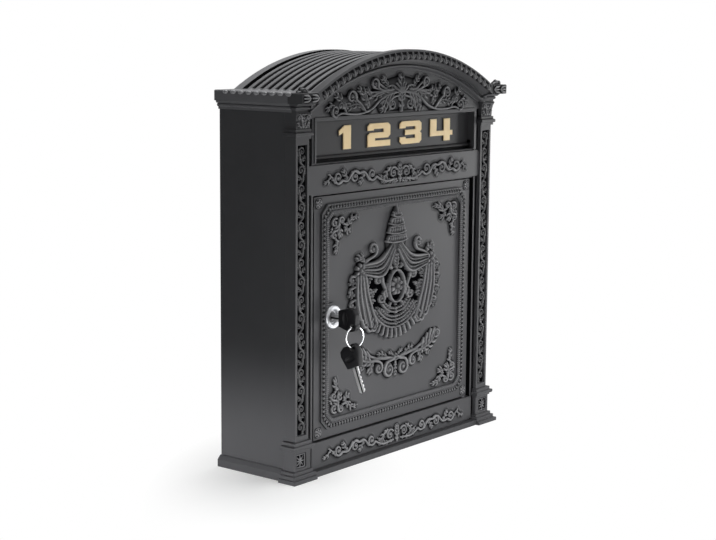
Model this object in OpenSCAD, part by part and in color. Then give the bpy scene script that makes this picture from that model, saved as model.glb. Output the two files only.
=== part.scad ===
// Classical wall letter box: a ribbed barrel roof and two side plates behind one cast front, with a lifting
// flap over the slot and a locked door below it. Millimetres, +Z up, the front looks along -Y.
// The origin is the middle of the bottom edge of the face that lies on the wall.

/* [Case] */
// Width over the side plates
case_w = 349; // [330:1:370]
// Depth from the wall face to the back of the front casting
case_d = 91; // [84:1:110]
// Height of the side plates, up to the eaves
wall_h = 383; // [378:1:400]
// Thickness of the side plates
side_t = 4; // [3:0.5:5]
// Thickness of the back plate
back_t = 3; // [2.5:0.5:5]
// Thickness of the floor plate
floor_t = 3; // [2:0.5:5]
// Height of the floor plate above the base
floor_z = 3; // [2:0.5:6]
// Length of the tabs that the case screws pass through
tab_l = 14; // [12:0.5:18]
// Thickness of those tabs
tab_t = 4; // [3:0.5:5]
// Distance of the case screws from the inside of a side plate
screw_in = 8; // [7:0.5:9]
// Height of the lower pair of tabs
tab_low = 60; // [50:5:80]
// Distance of the upper pair of tabs below the eaves
tab_drop = 50; // [40:5:60]
// Distance of the roof and floor tabs from the ends of a side plate
tab_end = 20; // [16:1:26]

/* [Wall fixing] */
// Distance between the two columns of wall holes
wall_hole_dx = 220; // [160:5:240]
// Distance between the two rows of wall holes
wall_hole_dz = 240; // [180:5:260]
// Height of the lower wall holes
wall_hole_z = 90; // [70:5:110]
// Diameter of the wall holes
wall_hole_d = 7; // [5:0.5:9]

/* [Roof] */
// Rise of the front arch above the cornice
arch_rise = 42; // [38:1:48]
// Distance from the case side to the spring of the arch
spring_in = 18; // [14:0.5:22]
// Thickness of the barrel vault between its ribs
vault_t = 3.5; // [3:0.5:5]
// Number of round ribs on the vault
rib_count = 9; // [7:1:11]
// Width of the plain band along the wall edge of the vault
rim_w = 12; // [9:0.5:15]
// Height of a rib above the vault
rib_h = 3.5; // [2:0.25:4]
// Width of the valley between two ribs
valley_w = 2; // [1.5:0.25:3.5]
// Height of the cornice
cornice_h = 20; // [18:0.5:22]
// Reach of the cornice beyond the side plates
cornice_out = 8; // [6:0.5:10]

/* [Front casting] */
// Thickness of the casting between its raised parts
skin_t = 5; // [4.5:0.5:6]
// Width of the two pilasters
pilaster_w = 20.7; // [19:0.1:22]
// Height of the pilasters above the skin
pilaster_out = 4; // [3:0.25:5]
// Width of the groove beside a pilaster
groove_w = 6.6; // [5:0.2:8]
// Width of the bead that frames the openings
bead_w = 2.7; // [2:0.1:3.5]
// Height of that bead above the skin
bead_out = 1.4; // [1:0.1:2.5]
// Height of the two ornamental bands above the skin
band_out = 2.3; // [1.5:0.1:3.5]
// Height of the rail between the door and the slot
rail_h = 33.5; // [30:0.5:36]
// Lower edge of the lower band
low_band_z = 8.5; // [7:0.5:11]
// Height of the four tiers of the base, one above the other
tier_h = 4; // [3:0.25:5]
// Height of the base block, up to its ledge
block_z = 32.5; // [30:0.5:35]
// Reach of the lowest tier of the base beyond the case
base_out = 11; // [9:0.5:12]
// Distance from the eaves down to the capital's ledge
ledge_drop = 27; // [24:0.5:30]
// Reach of the archivolt in front of the skin
arch_out = 19; // [16:0.5:21]
// Width of the whole archivolt, measured along a radius
arch_w = 22.5; // [20:0.5:25]
// Width of its leaf band
leaf_band_w = 10; // [8:0.5:12]

/* [Door] */
// Sill of the door opening
door_sill_z = 35; // [34.5:0.5:38]
// Gap between the door and its opening
door_gap = 1.5; // [1.2:0.1:2]
// Extra gap along the door's two upright edges
edge_gap = 2; // [1.5:0.1:3]
// Thickness of the door leaf
door_t = 4; // [3.5:0.25:4.5]
// How far the door leaf stands behind the skin of the casting
door_in = 1; // [0.5:0.1:2]
// Diameter of the two pivot pins
pivot_d = 4; // [3:0.5:4.5]
// Distance from the door's edge to the pivot
pivot_in = 4; // [3.5:0.1:5]
// Length of a pivot pin inside the door
pivot_l = 8; // [6:0.5:12]
// Distance from the door's edge to its leaf moulding
ring_in = 11.4; // [10:0.1:14]
// Width of the leaf moulding
ring_w = 10; // [8:0.5:11]
// Height of the leaf moulding above the door
ring_out = 2.4; // [1.5:0.1:3]

/* [Slot and flap] */
// Distance from the door opening's edge to the end of the slot
slot_in = 3; // [2:0.5:6]
// Height of the lintel between the slot and the eaves
lintel_h = 10.5; // [9:0.5:12]
// Height of the letter slot
slot_h = 43; // [38:0.5:44]
// Thickness of the flap
flap_t = 3; // [2.5:0.25:3.5]
// How far the flap's face stands behind the skin
flap_in = 6; // [5.5:0.1:7]
// Diameter of the flap's pivot rod
rod_d = 3; // [2.5:0.25:4]
// Outer diameter of the flap's rolled edge
roll_d = 6; // [5.5:0.25:7]
// Diameter of the finger lip along the flap
lip_d = 5; // [4:0.25:6]

/* [Lock and keys] */
// Distance of the lock from the door's edge
lock_in = 29; // [27:0.5:33]
// Height of the lock
lock_z = 166; // [150:1:180]
// Diameter of the lock's flange
flange_d = 25; // [22:0.5:27]
// Diameter of the lock's threaded body
barrel_d = 18; // [16:0.5:19]
// Diameter of the lock's plug
plug_d = 12; // [10:0.5:13]
// Length of the lock's body behind the door leaf
barrel_l = 18; // [17:0.5:22]
// How far the lock's flange stands out of the door
flange_out = 5; // [4:0.5:6]
// Length of the lock's cam from the plug's axis
cam_l = 40; // [38:0.5:44]
// Thickness of a key blade
blade_t = 2; // [1.8:0.1:2.4]
// Height of a key blade
blade_h = 7; // [6:0.25:8]
// Length of a key blade outside its head
blade_l = 28; // [27:0.5:30]
// Length of a key's head
head_l = 23.5; // [22:0.5:26]
// Width of a key's head
head_w = 25.5; // [24:0.5:28]
// Thickness of a key's head
head_t = 8; // [6:0.5:9]
// Mean diameter of the key ring
ring_d = 22.6; // [20:0.2:26]
// Diameter of the key ring's wire
wire_d = 1.8; // [1.6:0.1:2]
// Turn of the key ring about the upright
ring_turn = 14; // [0:1:16]
// Forward lean of the spare key
spare_lean = 22; // [10:1:26]

/* [Carving] */
// Height of the ornament in the middle of the door
ornament_h = 2.8; // [2:0.2:3.6]
// Height of the scroll and the corner sprays of the door
spray_h = 1.6; // [1:0.2:2.4]
// Height of the scroll under the arch
tympanum_h = 2.2; // [1.4:0.2:3]
// Height of the scrolls on the two bands
frieze_h = 1.5; // [1:0.1:2.2]
// Height of the vines in the pilaster panels
vine_h = 1.3; // [0.8:0.1:1.6]
// Width of a carved stem
stem_w = 1.5; // [1.2:0.1:1.8]
// Diameter of the curl on each end block of the cornice
curl_d = 6; // [5:0.5:7]

/* [Fasteners] */
// Shank diameter of the case screws
screw_d = 4; // [3:0.5:5]
// Length of the case screws under the head
screw_l = 8; // [7:0.5:10]

/* [Clearances] */
// Radial clearance of a turning or sliding fit
run_c = 0.05; // [0.02:0.01:0.09]
// Gap between two pieces that pass each other
pass_c = 0.3; // [0.25:0.05:0.5]

/* [Hidden] */
$fn = 48;

iron = "#4c4c50";
chrome = "#d9dbde";
nickel = "#b9bcc0";
plastic = "#17171a";
e = 0.01;

// Case
half_w = case_w / 2;
in_w = half_w - side_t;
cornice_z = wall_h + cornice_h;
crown_z = cornice_z + arch_rise;
spring_x = half_w - spring_in;
arch_r = (spring_x * spring_x + arch_rise * arch_rise) / (2 * arch_rise);
arch_c = crown_z - arch_r;
rib_r = arch_r - 3;
vault_r = rib_r - rib_h;
vault_in_r = vault_r - vault_t;
plug_w = side_t + 2.5;

// Depths, counted from the wall towards the front
skin_y = case_d + 10;
back_y = skin_y - skin_t;
pilaster_y = skin_y + pilaster_out;
bead_y = skin_y + bead_out;
band_y = skin_y + band_out;
block_y = skin_y + 5.3;
roof_d = skin_y + 8;
arch_y = skin_y + arch_out;
door_y = skin_y - door_in;
door_back_y = door_y - door_t;
flap_y = skin_y - flap_in;
flap_back_y = flap_y - flap_t;

// Front
pilaster_x = half_w - pilaster_w;
groove_x = pilaster_x - groove_w;
door_x = groove_x - bead_w;
slot_x = door_x - slot_in;
slot_top = wall_h - lintel_h;
slot_z = slot_top - slot_h;
door_top = slot_z - rail_h;
door_open_h = door_top - door_sill_z;
band_z = door_top + 1.5;
band_h = rail_h - 3.5;
ledge_z = wall_h - ledge_drop;
ring_in_r = arch_r - arch_w;
panel_in = 2.2;

// Door
leaf_x = door_x - door_gap - edge_gap;
leaf_z0 = door_sill_z + door_gap;
leaf_z1 = door_top - door_gap;
ring_half_w = leaf_x - ring_in;
lock_x = leaf_x - lock_in;
pivot_x = leaf_x - pivot_in;
pivot_y = door_y - 3.5;
pivot_r = pivot_d / 2;
hub_w = 10;
rim_t = 4;

// Flap
rod_y = flap_y - flap_t / 2;
rod_z = slot_top + 0.9;
rod_r = rod_d / 2;
roll_r = roll_d / 2;
flap_x = slot_x - pass_c - 0.7;
flap_z0 = slot_z + 2;
cheek_t = 4;

// Lock
barrel_y1 = door_back_y - barrel_l;
flange_y = door_y + flange_out;
flange_r = flange_d / 2;
plug_y0 = barrel_y1 - 1;
plug_y1 = flange_y - 3.5;
cam_y1 = plug_y0;
cam_t = 2;
cam_w = 12;
nut_t = 4;
keeper_y = cam_y1 + 0.6;

// Keys
head_y = flange_y + 8;
tip_y = head_y - blade_l;
eye_in = 3.9;
eye_down = 6.5;
eye_r = wire_d / 2 + 1.8;
hole_y = head_y + head_l - eye_in;
hole_z = lock_z - eye_down;
ring_r = ring_d / 2;
wire_r = wire_d / 2;
ring_z = hole_z - ring_r;
spare_z = ring_z - ring_r;

module mirrored() {
    children();
    mirror([1, 0, 0]) children();
}

// Box between two corners
module span(a, b) {
    translate(a) cube(b - a);
}

// Flat outline in X and Z, as thick as from y0 to y1 in front of the wall
module slab(y0, y1) {
    translate([0, -y0, 0]) rotate([90, 0, 0]) linear_extrude(y1 - y0) children();
}

// Round bar along Y between two depths
module bar_y(x, z, r, y0, y1) {
    translate([x, -y0, z]) rotate([90, 0, 0]) cylinder(r = r, h = y1 - y0);
}

// Everything at or above a height
module above(z) {
    translate([-half_w * 2, -arch_y * 2, z]) cube([half_w * 4, arch_y * 4, crown_z]);
}

// Section in radius and depth, turned round the axis of the arch
module around_arch() {
    translate([0, 0, arch_c]) rotate([90, 0, 0]) rotate_extrude($fn = 240) children();
}

// Direction of a line at one of its points
function dir_at(p, i) = let (d = p[min(i + 1, len(p) - 1)] - p[max(i - 1, 0)]) d / norm(d);

// Flat band along a line, from one width to another
module band(p, w0, w1) {
    n = len(p) - 1;
    polygon(concat(
        [for (i = [0:n]) p[i] + (w0 + (w1 - w0) * i / n) / 2 * [-dir_at(p, i)[1], dir_at(p, i)[0]]],
        [for (i = [n:-1:0]) p[i] - (w0 + (w1 - w0) * i / n) / 2 * [-dir_at(p, i)[1], dir_at(p, i)[0]]]
    ));
}

// Volute that turns inward from its start angle to its eye; lead is the line of the stem that runs into it
module volute(c, r, start, hand, lead = []) {
    spiral = [for (i = [0:13]) c + r * (1 - 0.82 * pow(i / 13, 0.9)) * [cos(start + hand * 38 * i), sin(start + hand * 38 * i)]];
    band(concat(lead, spiral), stem_w, stem_w * 0.6);
    translate(c) circle(stem_w * 0.7, $fn = 8);
}

// Leaf: a spine with pairs of lobes that lean forward, the longest l or a little more
module frond(p, lobes, l) {
    n = len(p) - 1;
    band(p, stem_w * 1.2, stem_w * 0.5);
    for (k = [0:1:lobes - 1], side = [-1, 1]) {
        share = (k + 0.6) / (lobes + 0.3);
        i = min(floor(share * n), n - 1);
        root = p[i] + (share * n - i) * (p[i + 1] - p[i]);
        a = atan2(p[i + 1][1] - p[i][1], p[i + 1][0] - p[i][0]);
        r = l * (0.45 + 0.75 * sin(180 * min(1, share * 1.05)));
        mid = root + 0.5 * r * [cos(a + side * 52), sin(a + side * 52)];
        band([root, mid, mid + 0.4 * r * [cos(a + side * 18), sin(a + side * 18)]], stem_w * 0.5, stem_w * 0.7);
    }
}

// Running scroll through volutes at the given places, each turned the other way, the first one by hand
module running_scroll(places, mid, r, hand) {
    for (k = [0:len(places) - 1]) {
        h = k % 2 == 0 ? hand : -hand;
        from = [places[max(k - 1, 0)] + r * cos(48), mid + h * r * (sin(48) - 0.06)];
        turn = [(from[0] + places[k] - r) / 2, mid - h * r * 0.5];
        volute([places[k], mid + h * r * 0.06], r, 180 + h * 28, h, k > 0 ? [from, turn] : []);
        if (k > 0) band([turn, [places[k] - r * 1.5, mid + h * r * 0.35], [places[k] - r * 0.95, mid + h * r * 1.1]], stem_w, stem_w * 0.5);
    }
}

// Sinks a flat drawing in a face and raises it by h, as one clean outline
module carved(face, h) {
    slab(face - 0.6, face + h) offset(delta = 0.01) children();
}

function arc_pts(c, r, a0, a1, n) = [for (i = [0:n]) c + r * [cos(a0 + (a1 - a0) * i / n), sin(a0 + (a1 - a0) * i / n)]];

// Places of the case screws: [position, direction the shank points]
screw_x = in_w - screw_in;
wall_tabs = [tab_low, wall_h - tab_drop];
end_tabs = [tab_end, case_d - tab_end];
front_screws = [for (s = [-1, 1], z = wall_tabs) [[s * screw_x, -(case_d - tab_t), z], [90, 0, 0]]];
back_screws = [for (s = [-1, 1], z = wall_tabs) [[s * screw_x, -(back_t + tab_t), z], [-90, 0, 0]]];
roof_screws = [for (s = [-1, 1], y = end_tabs) [[s * screw_x, -y, wall_h - tab_t], [0, 0, 0]]];
floor_screws = [for (s = [-1, 1], y = end_tabs) [[s * screw_x, -y, floor_z + floor_t + tab_t], [180, 0, 0]]];
screws = concat(front_screws, back_screws, roof_screws, floor_screws);

// A hole of the given radius and depth along each screw of a list
module screw_holes(list, r, l) {
    for (s = list) translate(s[0]) rotate(s[1]) translate([0, 0, -e]) cylinder(r = r, h = l);
}

module back_outline() {
    translate([-in_w, 0]) square([in_w * 2, wall_h]);
    translate([-half_w + plug_w, wall_h - 1]) square([(half_w - plug_w) * 2, cornice_h - 4 + 1]);
    intersection() {
        translate([0, arch_c]) circle(vault_in_r, $fn = 240);
        translate([-half_w, cornice_z - 4]) square([case_w, crown_z]);
    }
}

module back_plate() {
    color(iron) difference() {
        slab(0, back_t) back_outline();
        for (x = [-1, 1], z = [0, 1])
            bar_y(x * wall_hole_dx / 2, wall_hole_z + z * wall_hole_dz, wall_hole_d / 2, -1, back_t + 1);
        screw_holes(back_screws, screw_d / 2, screw_l);
    }
}

// One side plate with its plinth, its four end tabs and its tabs for the roof and the floor
module side_plate() {
    difference() {
        union() {
            span([in_w, -case_d, 0], [half_w, 0, wall_h]);
            slab(0, case_d) polygon([
                [half_w - 1, 0], [half_w + 6, 0], [half_w + 6, tier_h * 2], [half_w + 4, tier_h * 2 + 2],
                [half_w + 2, tier_h * 3], [half_w - 1, tier_h * 3]
            ]);
            for (s = back_screws) if (s[0][0] > 0)
                span([in_w - tab_l, -back_t - tab_t, s[0][2] - 8], [in_w + 1, -back_t, s[0][2] + 8]);
            for (s = front_screws) if (s[0][0] > 0)
                span([in_w - tab_l, -case_d, s[0][2] - 8], [in_w + 1, -(case_d - tab_t), s[0][2] + 8]);
            for (s = roof_screws) if (s[0][0] > 0)
                span([in_w - tab_l, s[0][1] - 8, wall_h - tab_t], [in_w + 1, s[0][1] + 8, wall_h]);
            for (s = floor_screws) if (s[0][0] > 0)
                span([in_w - tab_l, s[0][1] - 8, floor_z + floor_t], [in_w + 1, s[0][1] + 8, floor_z + floor_t + tab_t]);
        }
        screw_holes(screws, screw_d / 2, screw_l);
    }
}

module right_side() {
    color(iron) side_plate();
}

module left_side() {
    color(iron) mirror([1, 0, 0]) side_plate();
}

module floor_plate() {
    color(iron) difference() {
        span([-in_w, -back_y, floor_z], [in_w, -back_t, floor_z + floor_t]);
        screw_holes(floor_screws, screw_d / 2, screw_l);
    }
}

// Cornice moulding from its foot up: [reach at the side, reach at the front, height]
cornice_pts = concat(
    [[2, 1.5, 0], [2, 1.5, 2.5]],
    [for (p = arc_pts([2, 4.5], 2, -75, 75, 5)) [p[0], p[0] - 0.5, p[1]]],
    [[2, 1.5, 6.5], [5, 5, 6.5], [6, 8, 9], [8, 10.3, 9]]
);

// Section of one eaves cornice, from its foot on the side plate to the vault
module eaves_outline() {
    polygon(concat(
        [[half_w - plug_w, wall_h]],
        [for (p = cornice_pts) [half_w + p[0] * cornice_out / 8, wall_h + p[2]]],
        [[half_w + cornice_out, cornice_z - 1], [half_w + cornice_out - 1, cornice_z]],
        [[spring_x - 8, cornice_z], [spring_x - 14, cornice_z - 4], [half_w - plug_w, cornice_z - 4]]
    ));
}

// Section of the vault in radius and depth: the wall band, then one half-round per rib
module vault_section() {
    pitch = (roof_d - rim_w) / rib_count;
    translate([vault_in_r, 0]) square([vault_t, roof_d]);
    translate([vault_in_r, 0]) square([vault_t + rib_h + 1, rim_w - valley_w / 2]);
    for (i = [0:rib_count - 1])
        translate([vault_r, rim_w + pitch * (i + 0.5)]) scale([rib_h / (pitch - valley_w) * 2, 1])
            circle(d = pitch - valley_w, $fn = 24);
}

module roof() {
    color(iron) difference() {
        union() {
            intersection() {
                around_arch() vault_section();
                above(cornice_z - 4);
                translate([0.5 - spring_x, -roof_d, 0]) cube([spring_x * 2 - 1, roof_d, crown_z * 2]);
            }
            mirrored() slab(0, skin_y) eaves_outline();
            mirrored() slab(skin_y - 1, roof_d) intersection() {
                eaves_outline();
                square([spring_x - 0.5, crown_z]);
            }
            for (s = roof_screws) translate(s[0] + [0, 0, tab_t]) cylinder(d = 12, h = cornice_h - 2);
        }
        bar_y(0, arch_c, vault_in_r, -1, roof_d + 1, $fn = 240);
        screw_holes(roof_screws, screw_d / 2, screw_l);
    }
}

// Skin of the casting: pilaster to pilaster, and the arch that fills the vault
module skin_outline() {
    translate([-half_w, 0]) square([case_w, wall_h]);
    translate([-half_w + plug_w, wall_h - 1]) square([(half_w - plug_w) * 2, cornice_h - 4 + 1]);
    intersection() {
        translate([0, arch_c]) circle(vault_in_r, $fn = 240);
        translate([-half_w, cornice_z - 4]) square([case_w, crown_z]);
    }
}

// Rectangle with rounded corners, from x0, z0 to x1, z1
module round_rect(x0, z0, x1, z1, r) {
    translate([x0, z0]) offset(r) offset(-r) square([x1 - x0, z1 - z0]);
}

// Section of the archivolt in radius and depth: tympanum edge, torus, fillet, cove and leaf band
module archivolt_section() {
    r0 = ring_in_r;
    rl = arch_r - leaf_band_w;
    rc = rl - 2;
    polygon(concat(
        [[r0, back_y], [r0, skin_y + 3.6], [r0 + 2, skin_y + 3.6], [r0 + 2.6, skin_y + 5]],
        arc_pts([r0 + 4.8, skin_y + 6], 1.7, 180, 0, 8),
        [[r0 + 7, skin_y + 6.6], [rc - 2, skin_y + 6.6], [rc - 2, skin_y + 9]],
        arc_pts([rc - 2, arch_y - 2.5], arch_y - skin_y - 11.5, -90, 0, 8),
        [[rl, arch_y], [arch_r - 2, arch_y], [arch_r, arch_y - 1.5], [arch_r, roof_d], [vault_in_r, roof_d]],
        [[vault_in_r, back_y]]
    ));
}

// Mouldings of a pilaster from the foot up: [reach at the side, reach at the front, height]
base_pts = [
    [base_out, base_out - 2, 0], [base_out, base_out - 2, tier_h], [base_out - 2.5, base_out - 5, tier_h + 0.5],
    [base_out - 2.5, base_out - 5, tier_h * 2], [base_out - 5, base_out - 7.5, tier_h * 2 + 0.5],
    [base_out - 5, base_out - 7.5, tier_h * 3 - 0.5], [2.8, 1.3, tier_h * 3], [2.8, 1.3, block_z],
    [4.3, 2.8, block_z], [4.3, 2.8, block_z + 2.2], [6.9, 4.4, block_z + 2.2], [7.5, 5, block_z + 3],
    [7.5, 5, block_z + 6], [4.1, 3, block_z + 6.5], [4.1, 3, block_z + 10]
];
capital_pts = [
    [2.3, 1.7, ledge_z], [2.3, 1.7, ledge_z + 3], [3.6, 3.3, ledge_z + 3], [4, 3.7, ledge_z + 4],
    [4, 3.7, ledge_z + 6.5], [2.3, 1.7, ledge_z + 7], [2.3, 1.7, ledge_z + 10], [0.4, 0.4, ledge_z + 10],
    [0.6, 0.8, wall_h - 9], [1.4, 1.8, wall_h - 4], [2, 3, wall_h - 1.5], [2, 3, wall_h]
];

// Solid that a moulding wraps: as wide as the pilaster plus the reach on both sides, from the case forward
module moulding(pts) {
    top = pts[len(pts) - 1][2];
    intersection() {
        slab(case_d, arch_y * 2) polygon(concat(
            [for (p = pts) [half_w + p[0], p[2]]],
            [for (i = [len(pts) - 1:-1:0]) [pilaster_x - min(pts[i][0] * 0.6, 5), pts[i][2]]]
        ));
        translate([pilaster_x - 10, 0, 0]) rotate([90, 0, 90]) linear_extrude(pilaster_w + 40)
            polygon(concat([for (p = pts) [-pilaster_y - p[1], p[2]]], [[-1, top], [-1, pts[0][2]]]));
    }
}

// Cornice over one capital, and the block on which the archivolt ends
module cornice_end() {
    intersection() {
        slab(skin_y, arch_y * 2) polygon(concat(
            [for (p = cornice_pts) [half_w + p[0] * cornice_out / 8, wall_h + p[2]]],
            [[half_w + cornice_out, cornice_z - 1], [half_w + cornice_out - 1, cornice_z]],
            [[spring_x - 0.5, cornice_z], [spring_x - 0.5, wall_h + 9], [pilaster_x - 5, wall_h + 6.5], [pilaster_x - 5, wall_h]]
        ));
        translate([pilaster_x - 10, 0, 0]) rotate([90, 0, 90]) linear_extrude(pilaster_w + 40)
            polygon(concat(
                [for (p = cornice_pts) [-pilaster_y - p[1], wall_h + p[2]]],
                [[-arch_y - 0.5, wall_h + 9.5], [-arch_y - 0.5, cornice_z - 0.5], [-arch_y, cornice_z], [-1, cornice_z], [-1, wall_h]]
            ));
    }
}

// Filling between the cornice end and the arch, hidden behind the archivolt
module cornice_fill() {
    slab(skin_y, roof_d) difference() {
        translate([spring_x - 16, wall_h + 8]) square([half_w - plug_w - spring_x + 16, cornice_h - 12]);
        translate([0, arch_c]) circle(vault_in_r - 1, $fn = 240);
    }
}

module front_body() {
    difference() {
        union() {
            slab(back_y, skin_y) skin_outline();
            mirrored() {
                span([in_w, -back_y - 1, 0], [half_w, -case_d, wall_h]);
                span([pilaster_x, -pilaster_y, 0], [half_w, -back_y, wall_h]);
                moulding(base_pts);
                moulding(capital_pts);
            }
        }
        span([-in_w, -back_y, -1], [in_w, 0, wall_h]);
    }
    mirrored() {
        cornice_end();
        cornice_fill();
    }
    intersection() {
        around_arch() archivolt_section();
        above(wall_h);
        translate([-spring_x, -arch_y * 2, 0]) cube([spring_x * 2, arch_y * 2, crown_z * 2]);
    }
    slab(back_y + 1, band_y) round_rect(-pilaster_x - 1, band_z, pilaster_x + 1, band_z + band_h, 6);
    slab(back_y + 1, band_y) translate([-door_x - 2, low_band_z]) square([door_x * 2 + 4, door_sill_z - low_band_z]);
    slab(back_y, skin_y + 8.5) translate([-pilaster_x, 0]) square([pilaster_x * 2, low_band_z - 2.5]);
    slot_surround();
    tympanum();
    mirrored() slab(back_y + 1, bead_y) translate([door_x, 10]) square([bead_w, slot_z]);
}

module front_casting() {
    color(iron) difference() {
        union() {
            difference() {
                front_body();
                slab(back_y - 20, arch_y * 2) translate([-slot_x, slot_z]) square([slot_x * 2, slot_h]);
                span([-slot_x - cheek_t - 1, -(skin_y - 1.8), slot_z + 6],
                     [slot_x + cheek_t + 1, -(back_y - 1), rod_z + 5]);
            }
            mirrored() {
                cheek();
                pivot_lug(door_top, 1);
                pivot_lug(door_sill_z, -1);
            }
            for (s = front_screws) bar_y(s[0][0], s[0][2], 5, case_d, back_y + 1);
            stop_ledge();
            keeper();
        }
        mirrored() {
            slab(pilaster_y - panel_in, pilaster_y + 1)
                translate([pilaster_x + 3, block_z + 15.5]) square([pilaster_w - 6, ledge_z - block_z - 21.5]);
            slab(pilaster_y - 0.7, pilaster_y + 9)
                translate([pilaster_x + 4.5, tier_h * 3 + 2.5]) square([pilaster_w - 5.5, block_z - tier_h * 3 - 5]);
        }
        slab(0, arch_y * 2) translate([-door_x, door_sill_z]) square([door_x * 2, door_open_h]);
        for (z = [leaf_z0 - pivot_l, leaf_z1])
            translate([pivot_x, -pivot_y, z - 1]) cylinder(r = pivot_r + run_c, h = pivot_l + 1);
        translate([-half_w, -rod_y, rod_z]) rotate([0, 90, 0]) cylinder(r = rod_r, h = case_w);
        screw_holes(front_screws, screw_d / 2, screw_l);
    }
    color(iron) {
        carved(band_y, tympanum_h) translate([0, slot_top - 372.5]) scale([slot_x / 141.5, 1]) tympanum_scroll();
        carved(band_y, frieze_h) scale([door_x / 144.5, 1]) band_scroll([49, 78, 106], band_z + band_h / 2, 7.3);
        carved(band_y, frieze_h) scale([door_x / 144.5, 1]) band_scroll([46, 74, 103], (low_band_z + door_sill_z) / 2 - 2.3, 6.6);
        carved(pilaster_y - panel_in, vine_h) mirrored() translate([pilaster_x + pilaster_w / 2, 0]) vine();
        mirrored() bar_y(half_w - 1, cornice_z + curl_d / 2 - 1.5, curl_d / 2, skin_y + 9.5, skin_y + 15);
    }
}

// Raised field round the letter slot, and the bead on its edge
module slot_surround() {
    z0 = band_z + band_h + 1.5;
    slab(back_y + 1, band_y) translate([-door_x - bead_w, z0]) square([(door_x + bead_w) * 2, slot_top + 5 - z0]);
    slab(band_y - 1, band_y + 1) translate([-slot_x - 2.5, z0 + 1]) square([(slot_x + 2.5) * 2, slot_top + 4 - z0 - 1]);
}

// Flat field inside the arch, over the slot
module tympanum() {
    slab(back_y + 1, band_y) intersection() {
        translate([0, arch_c]) circle(ring_in_r + 1, $fn = 240);
        translate([-pilaster_x + 2, slot_top + 3]) square([(pilaster_x - 2) * 2, crown_z]);
    }
}

// Scroll under the arch: a palmette over two volutes, and an arm of leaves on each side
module tympanum_scroll() {
    frond([[0, 379], [0, 392], [0, 405], [0, 418]], 5, 9);
    mirrored() {
        volute([15.5, 386.3], 7.4, 100, -1, [[2.5, 402], [5, 396]]);
        frond([[9, 399], [20, 400], [27, 394], [30, 384], [35, 381]], 4, 7);
        frond([[5, 402], [16, 406.5], [28, 404], [37, 399]], 0, 0);
        volute([46, 409], 6.6, 215, -1, [[10, 400], [24, 399], [34, 402]]);
        frond([[30, 399], [42, 396], [54, 397], [59, 403]], 3, 6.5);
        band([[20, 400], [28, 397], [36, 392], [43, 387.5], [50, 383], [58, 380.4], [66, 378.6], [84, 378], [100, 379.5], [107, 378]], stem_w * 1.2, stem_w);
        volute([111.5, 382.3], 6.6, 262, 1);
        volute([85, 396], 7.6, 200, -1, [[62, 380], [70, 388]]);
        frond([[66, 382], [74, 388], [82, 388], [93, 386], [99, 389]], 3, 6);
        frond([[58, 384], [62, 392], [66, 400], [73, 404]], 3, 5.5);
        frond([[92, 384], [101, 390], [106, 397], [111, 399]], 2, 5);
    }
}

// Scroll of a band: two volutes face each other in the middle, and a running scroll leads to each end
module band_scroll(places, mid, r) {
    mirrored() {
        volute([11.8, mid], r * 0.92, 150, -1);
        band([[17, mid + r * 0.85], [24, mid + r * 0.1], [27, mid - r * 0.75], [32, mid - r * 1.1]], stem_w * 1.2, stem_w * 0.6);
        running_scroll(places, mid, r, 1);
    }
}

// Vine that climbs a pilaster panel in even half waves
module vine() {
    z0 = block_z + 24.5;
    count = 16;
    step = (ledge_z - 12.5 - z0) / (count - 1);
    rotate(90) mirror([0, 1]) running_scroll([for (k = [0:count - 1]) z0 + step * k], 0, 5.4, 1);
}

// Ear behind the casting that carries one end of the flap's rod
module cheek() {
    span([slot_x, -skin_y, slot_z + 10], [slot_x + cheek_t, -(flap_back_y - 4), rod_z + 7]);
}

// Lug behind the casting that holds a pivot pin of the door
module pivot_lug(z, up) {
    span([pivot_x - hub_w / 2, -skin_y, up > 0 ? z : z - pivot_l], [pivot_x + hub_w / 2, -(pivot_y - 4), up > 0 ? z + pivot_l : z]);
}

// Ledge behind the slot, with the upstand that stops the flap
module stop_ledge() {
    span([-slot_x, -back_y - 1, slot_z - 5], [slot_x, -(flap_back_y - pass_c - 2), slot_z - 1]);
    span([-slot_x, -(flap_back_y - pass_c), slot_z - 5], [slot_x, -(flap_back_y - pass_c - 2), slot_z + 4]);
}

// Boss behind the left jamb that the lock's cam catches
module keeper() {
    span([-door_x - 9, -back_y - 1, lock_z - 7], [-door_x - 3, -keeper_y, lock_z + 7]);
}

// One case screw: pan head with a cross recess
module case_screw() {
    difference() {
        union() {
            translate([0, 0, -2.6]) cylinder(d1 = screw_d * 1.6, d2 = screw_d * 2, h = 1);
            translate([0, 0, -1.6]) cylinder(d = screw_d * 2, h = 1.6);
            translate([0, 0, -e]) cylinder(d = screw_d, h = screw_l - 1);
        }
        for (a = [0, 90]) rotate(a) translate([-screw_d / 2, -0.4, -3]) cube([screw_d, 0.8, 1.6]);
    }
}

module case_screws() {
    color(nickel) for (s = screws) translate(s[0]) rotate(s[1]) case_screw();
}

module flap_rod() {
    l = slot_x + cheek_t + 3;
    color(nickel) translate([-l, -rod_y, rod_z]) rotate([0, 90, 0]) cylinder(r = rod_r, h = l * 2);
}

module rod_clips() {
    color(nickel) for (s = [-1, 1]) translate([s * (slot_x + cheek_t + (s > 0 ? 0 : 0.8)), -rod_y, rod_z])
        rotate([0, 90, 0]) difference() {
            cylinder(r = rod_r + 2.5, h = 0.8);
            translate([0, 0, -1]) cylinder(r = rod_r, h = 3);
        }
}

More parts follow.
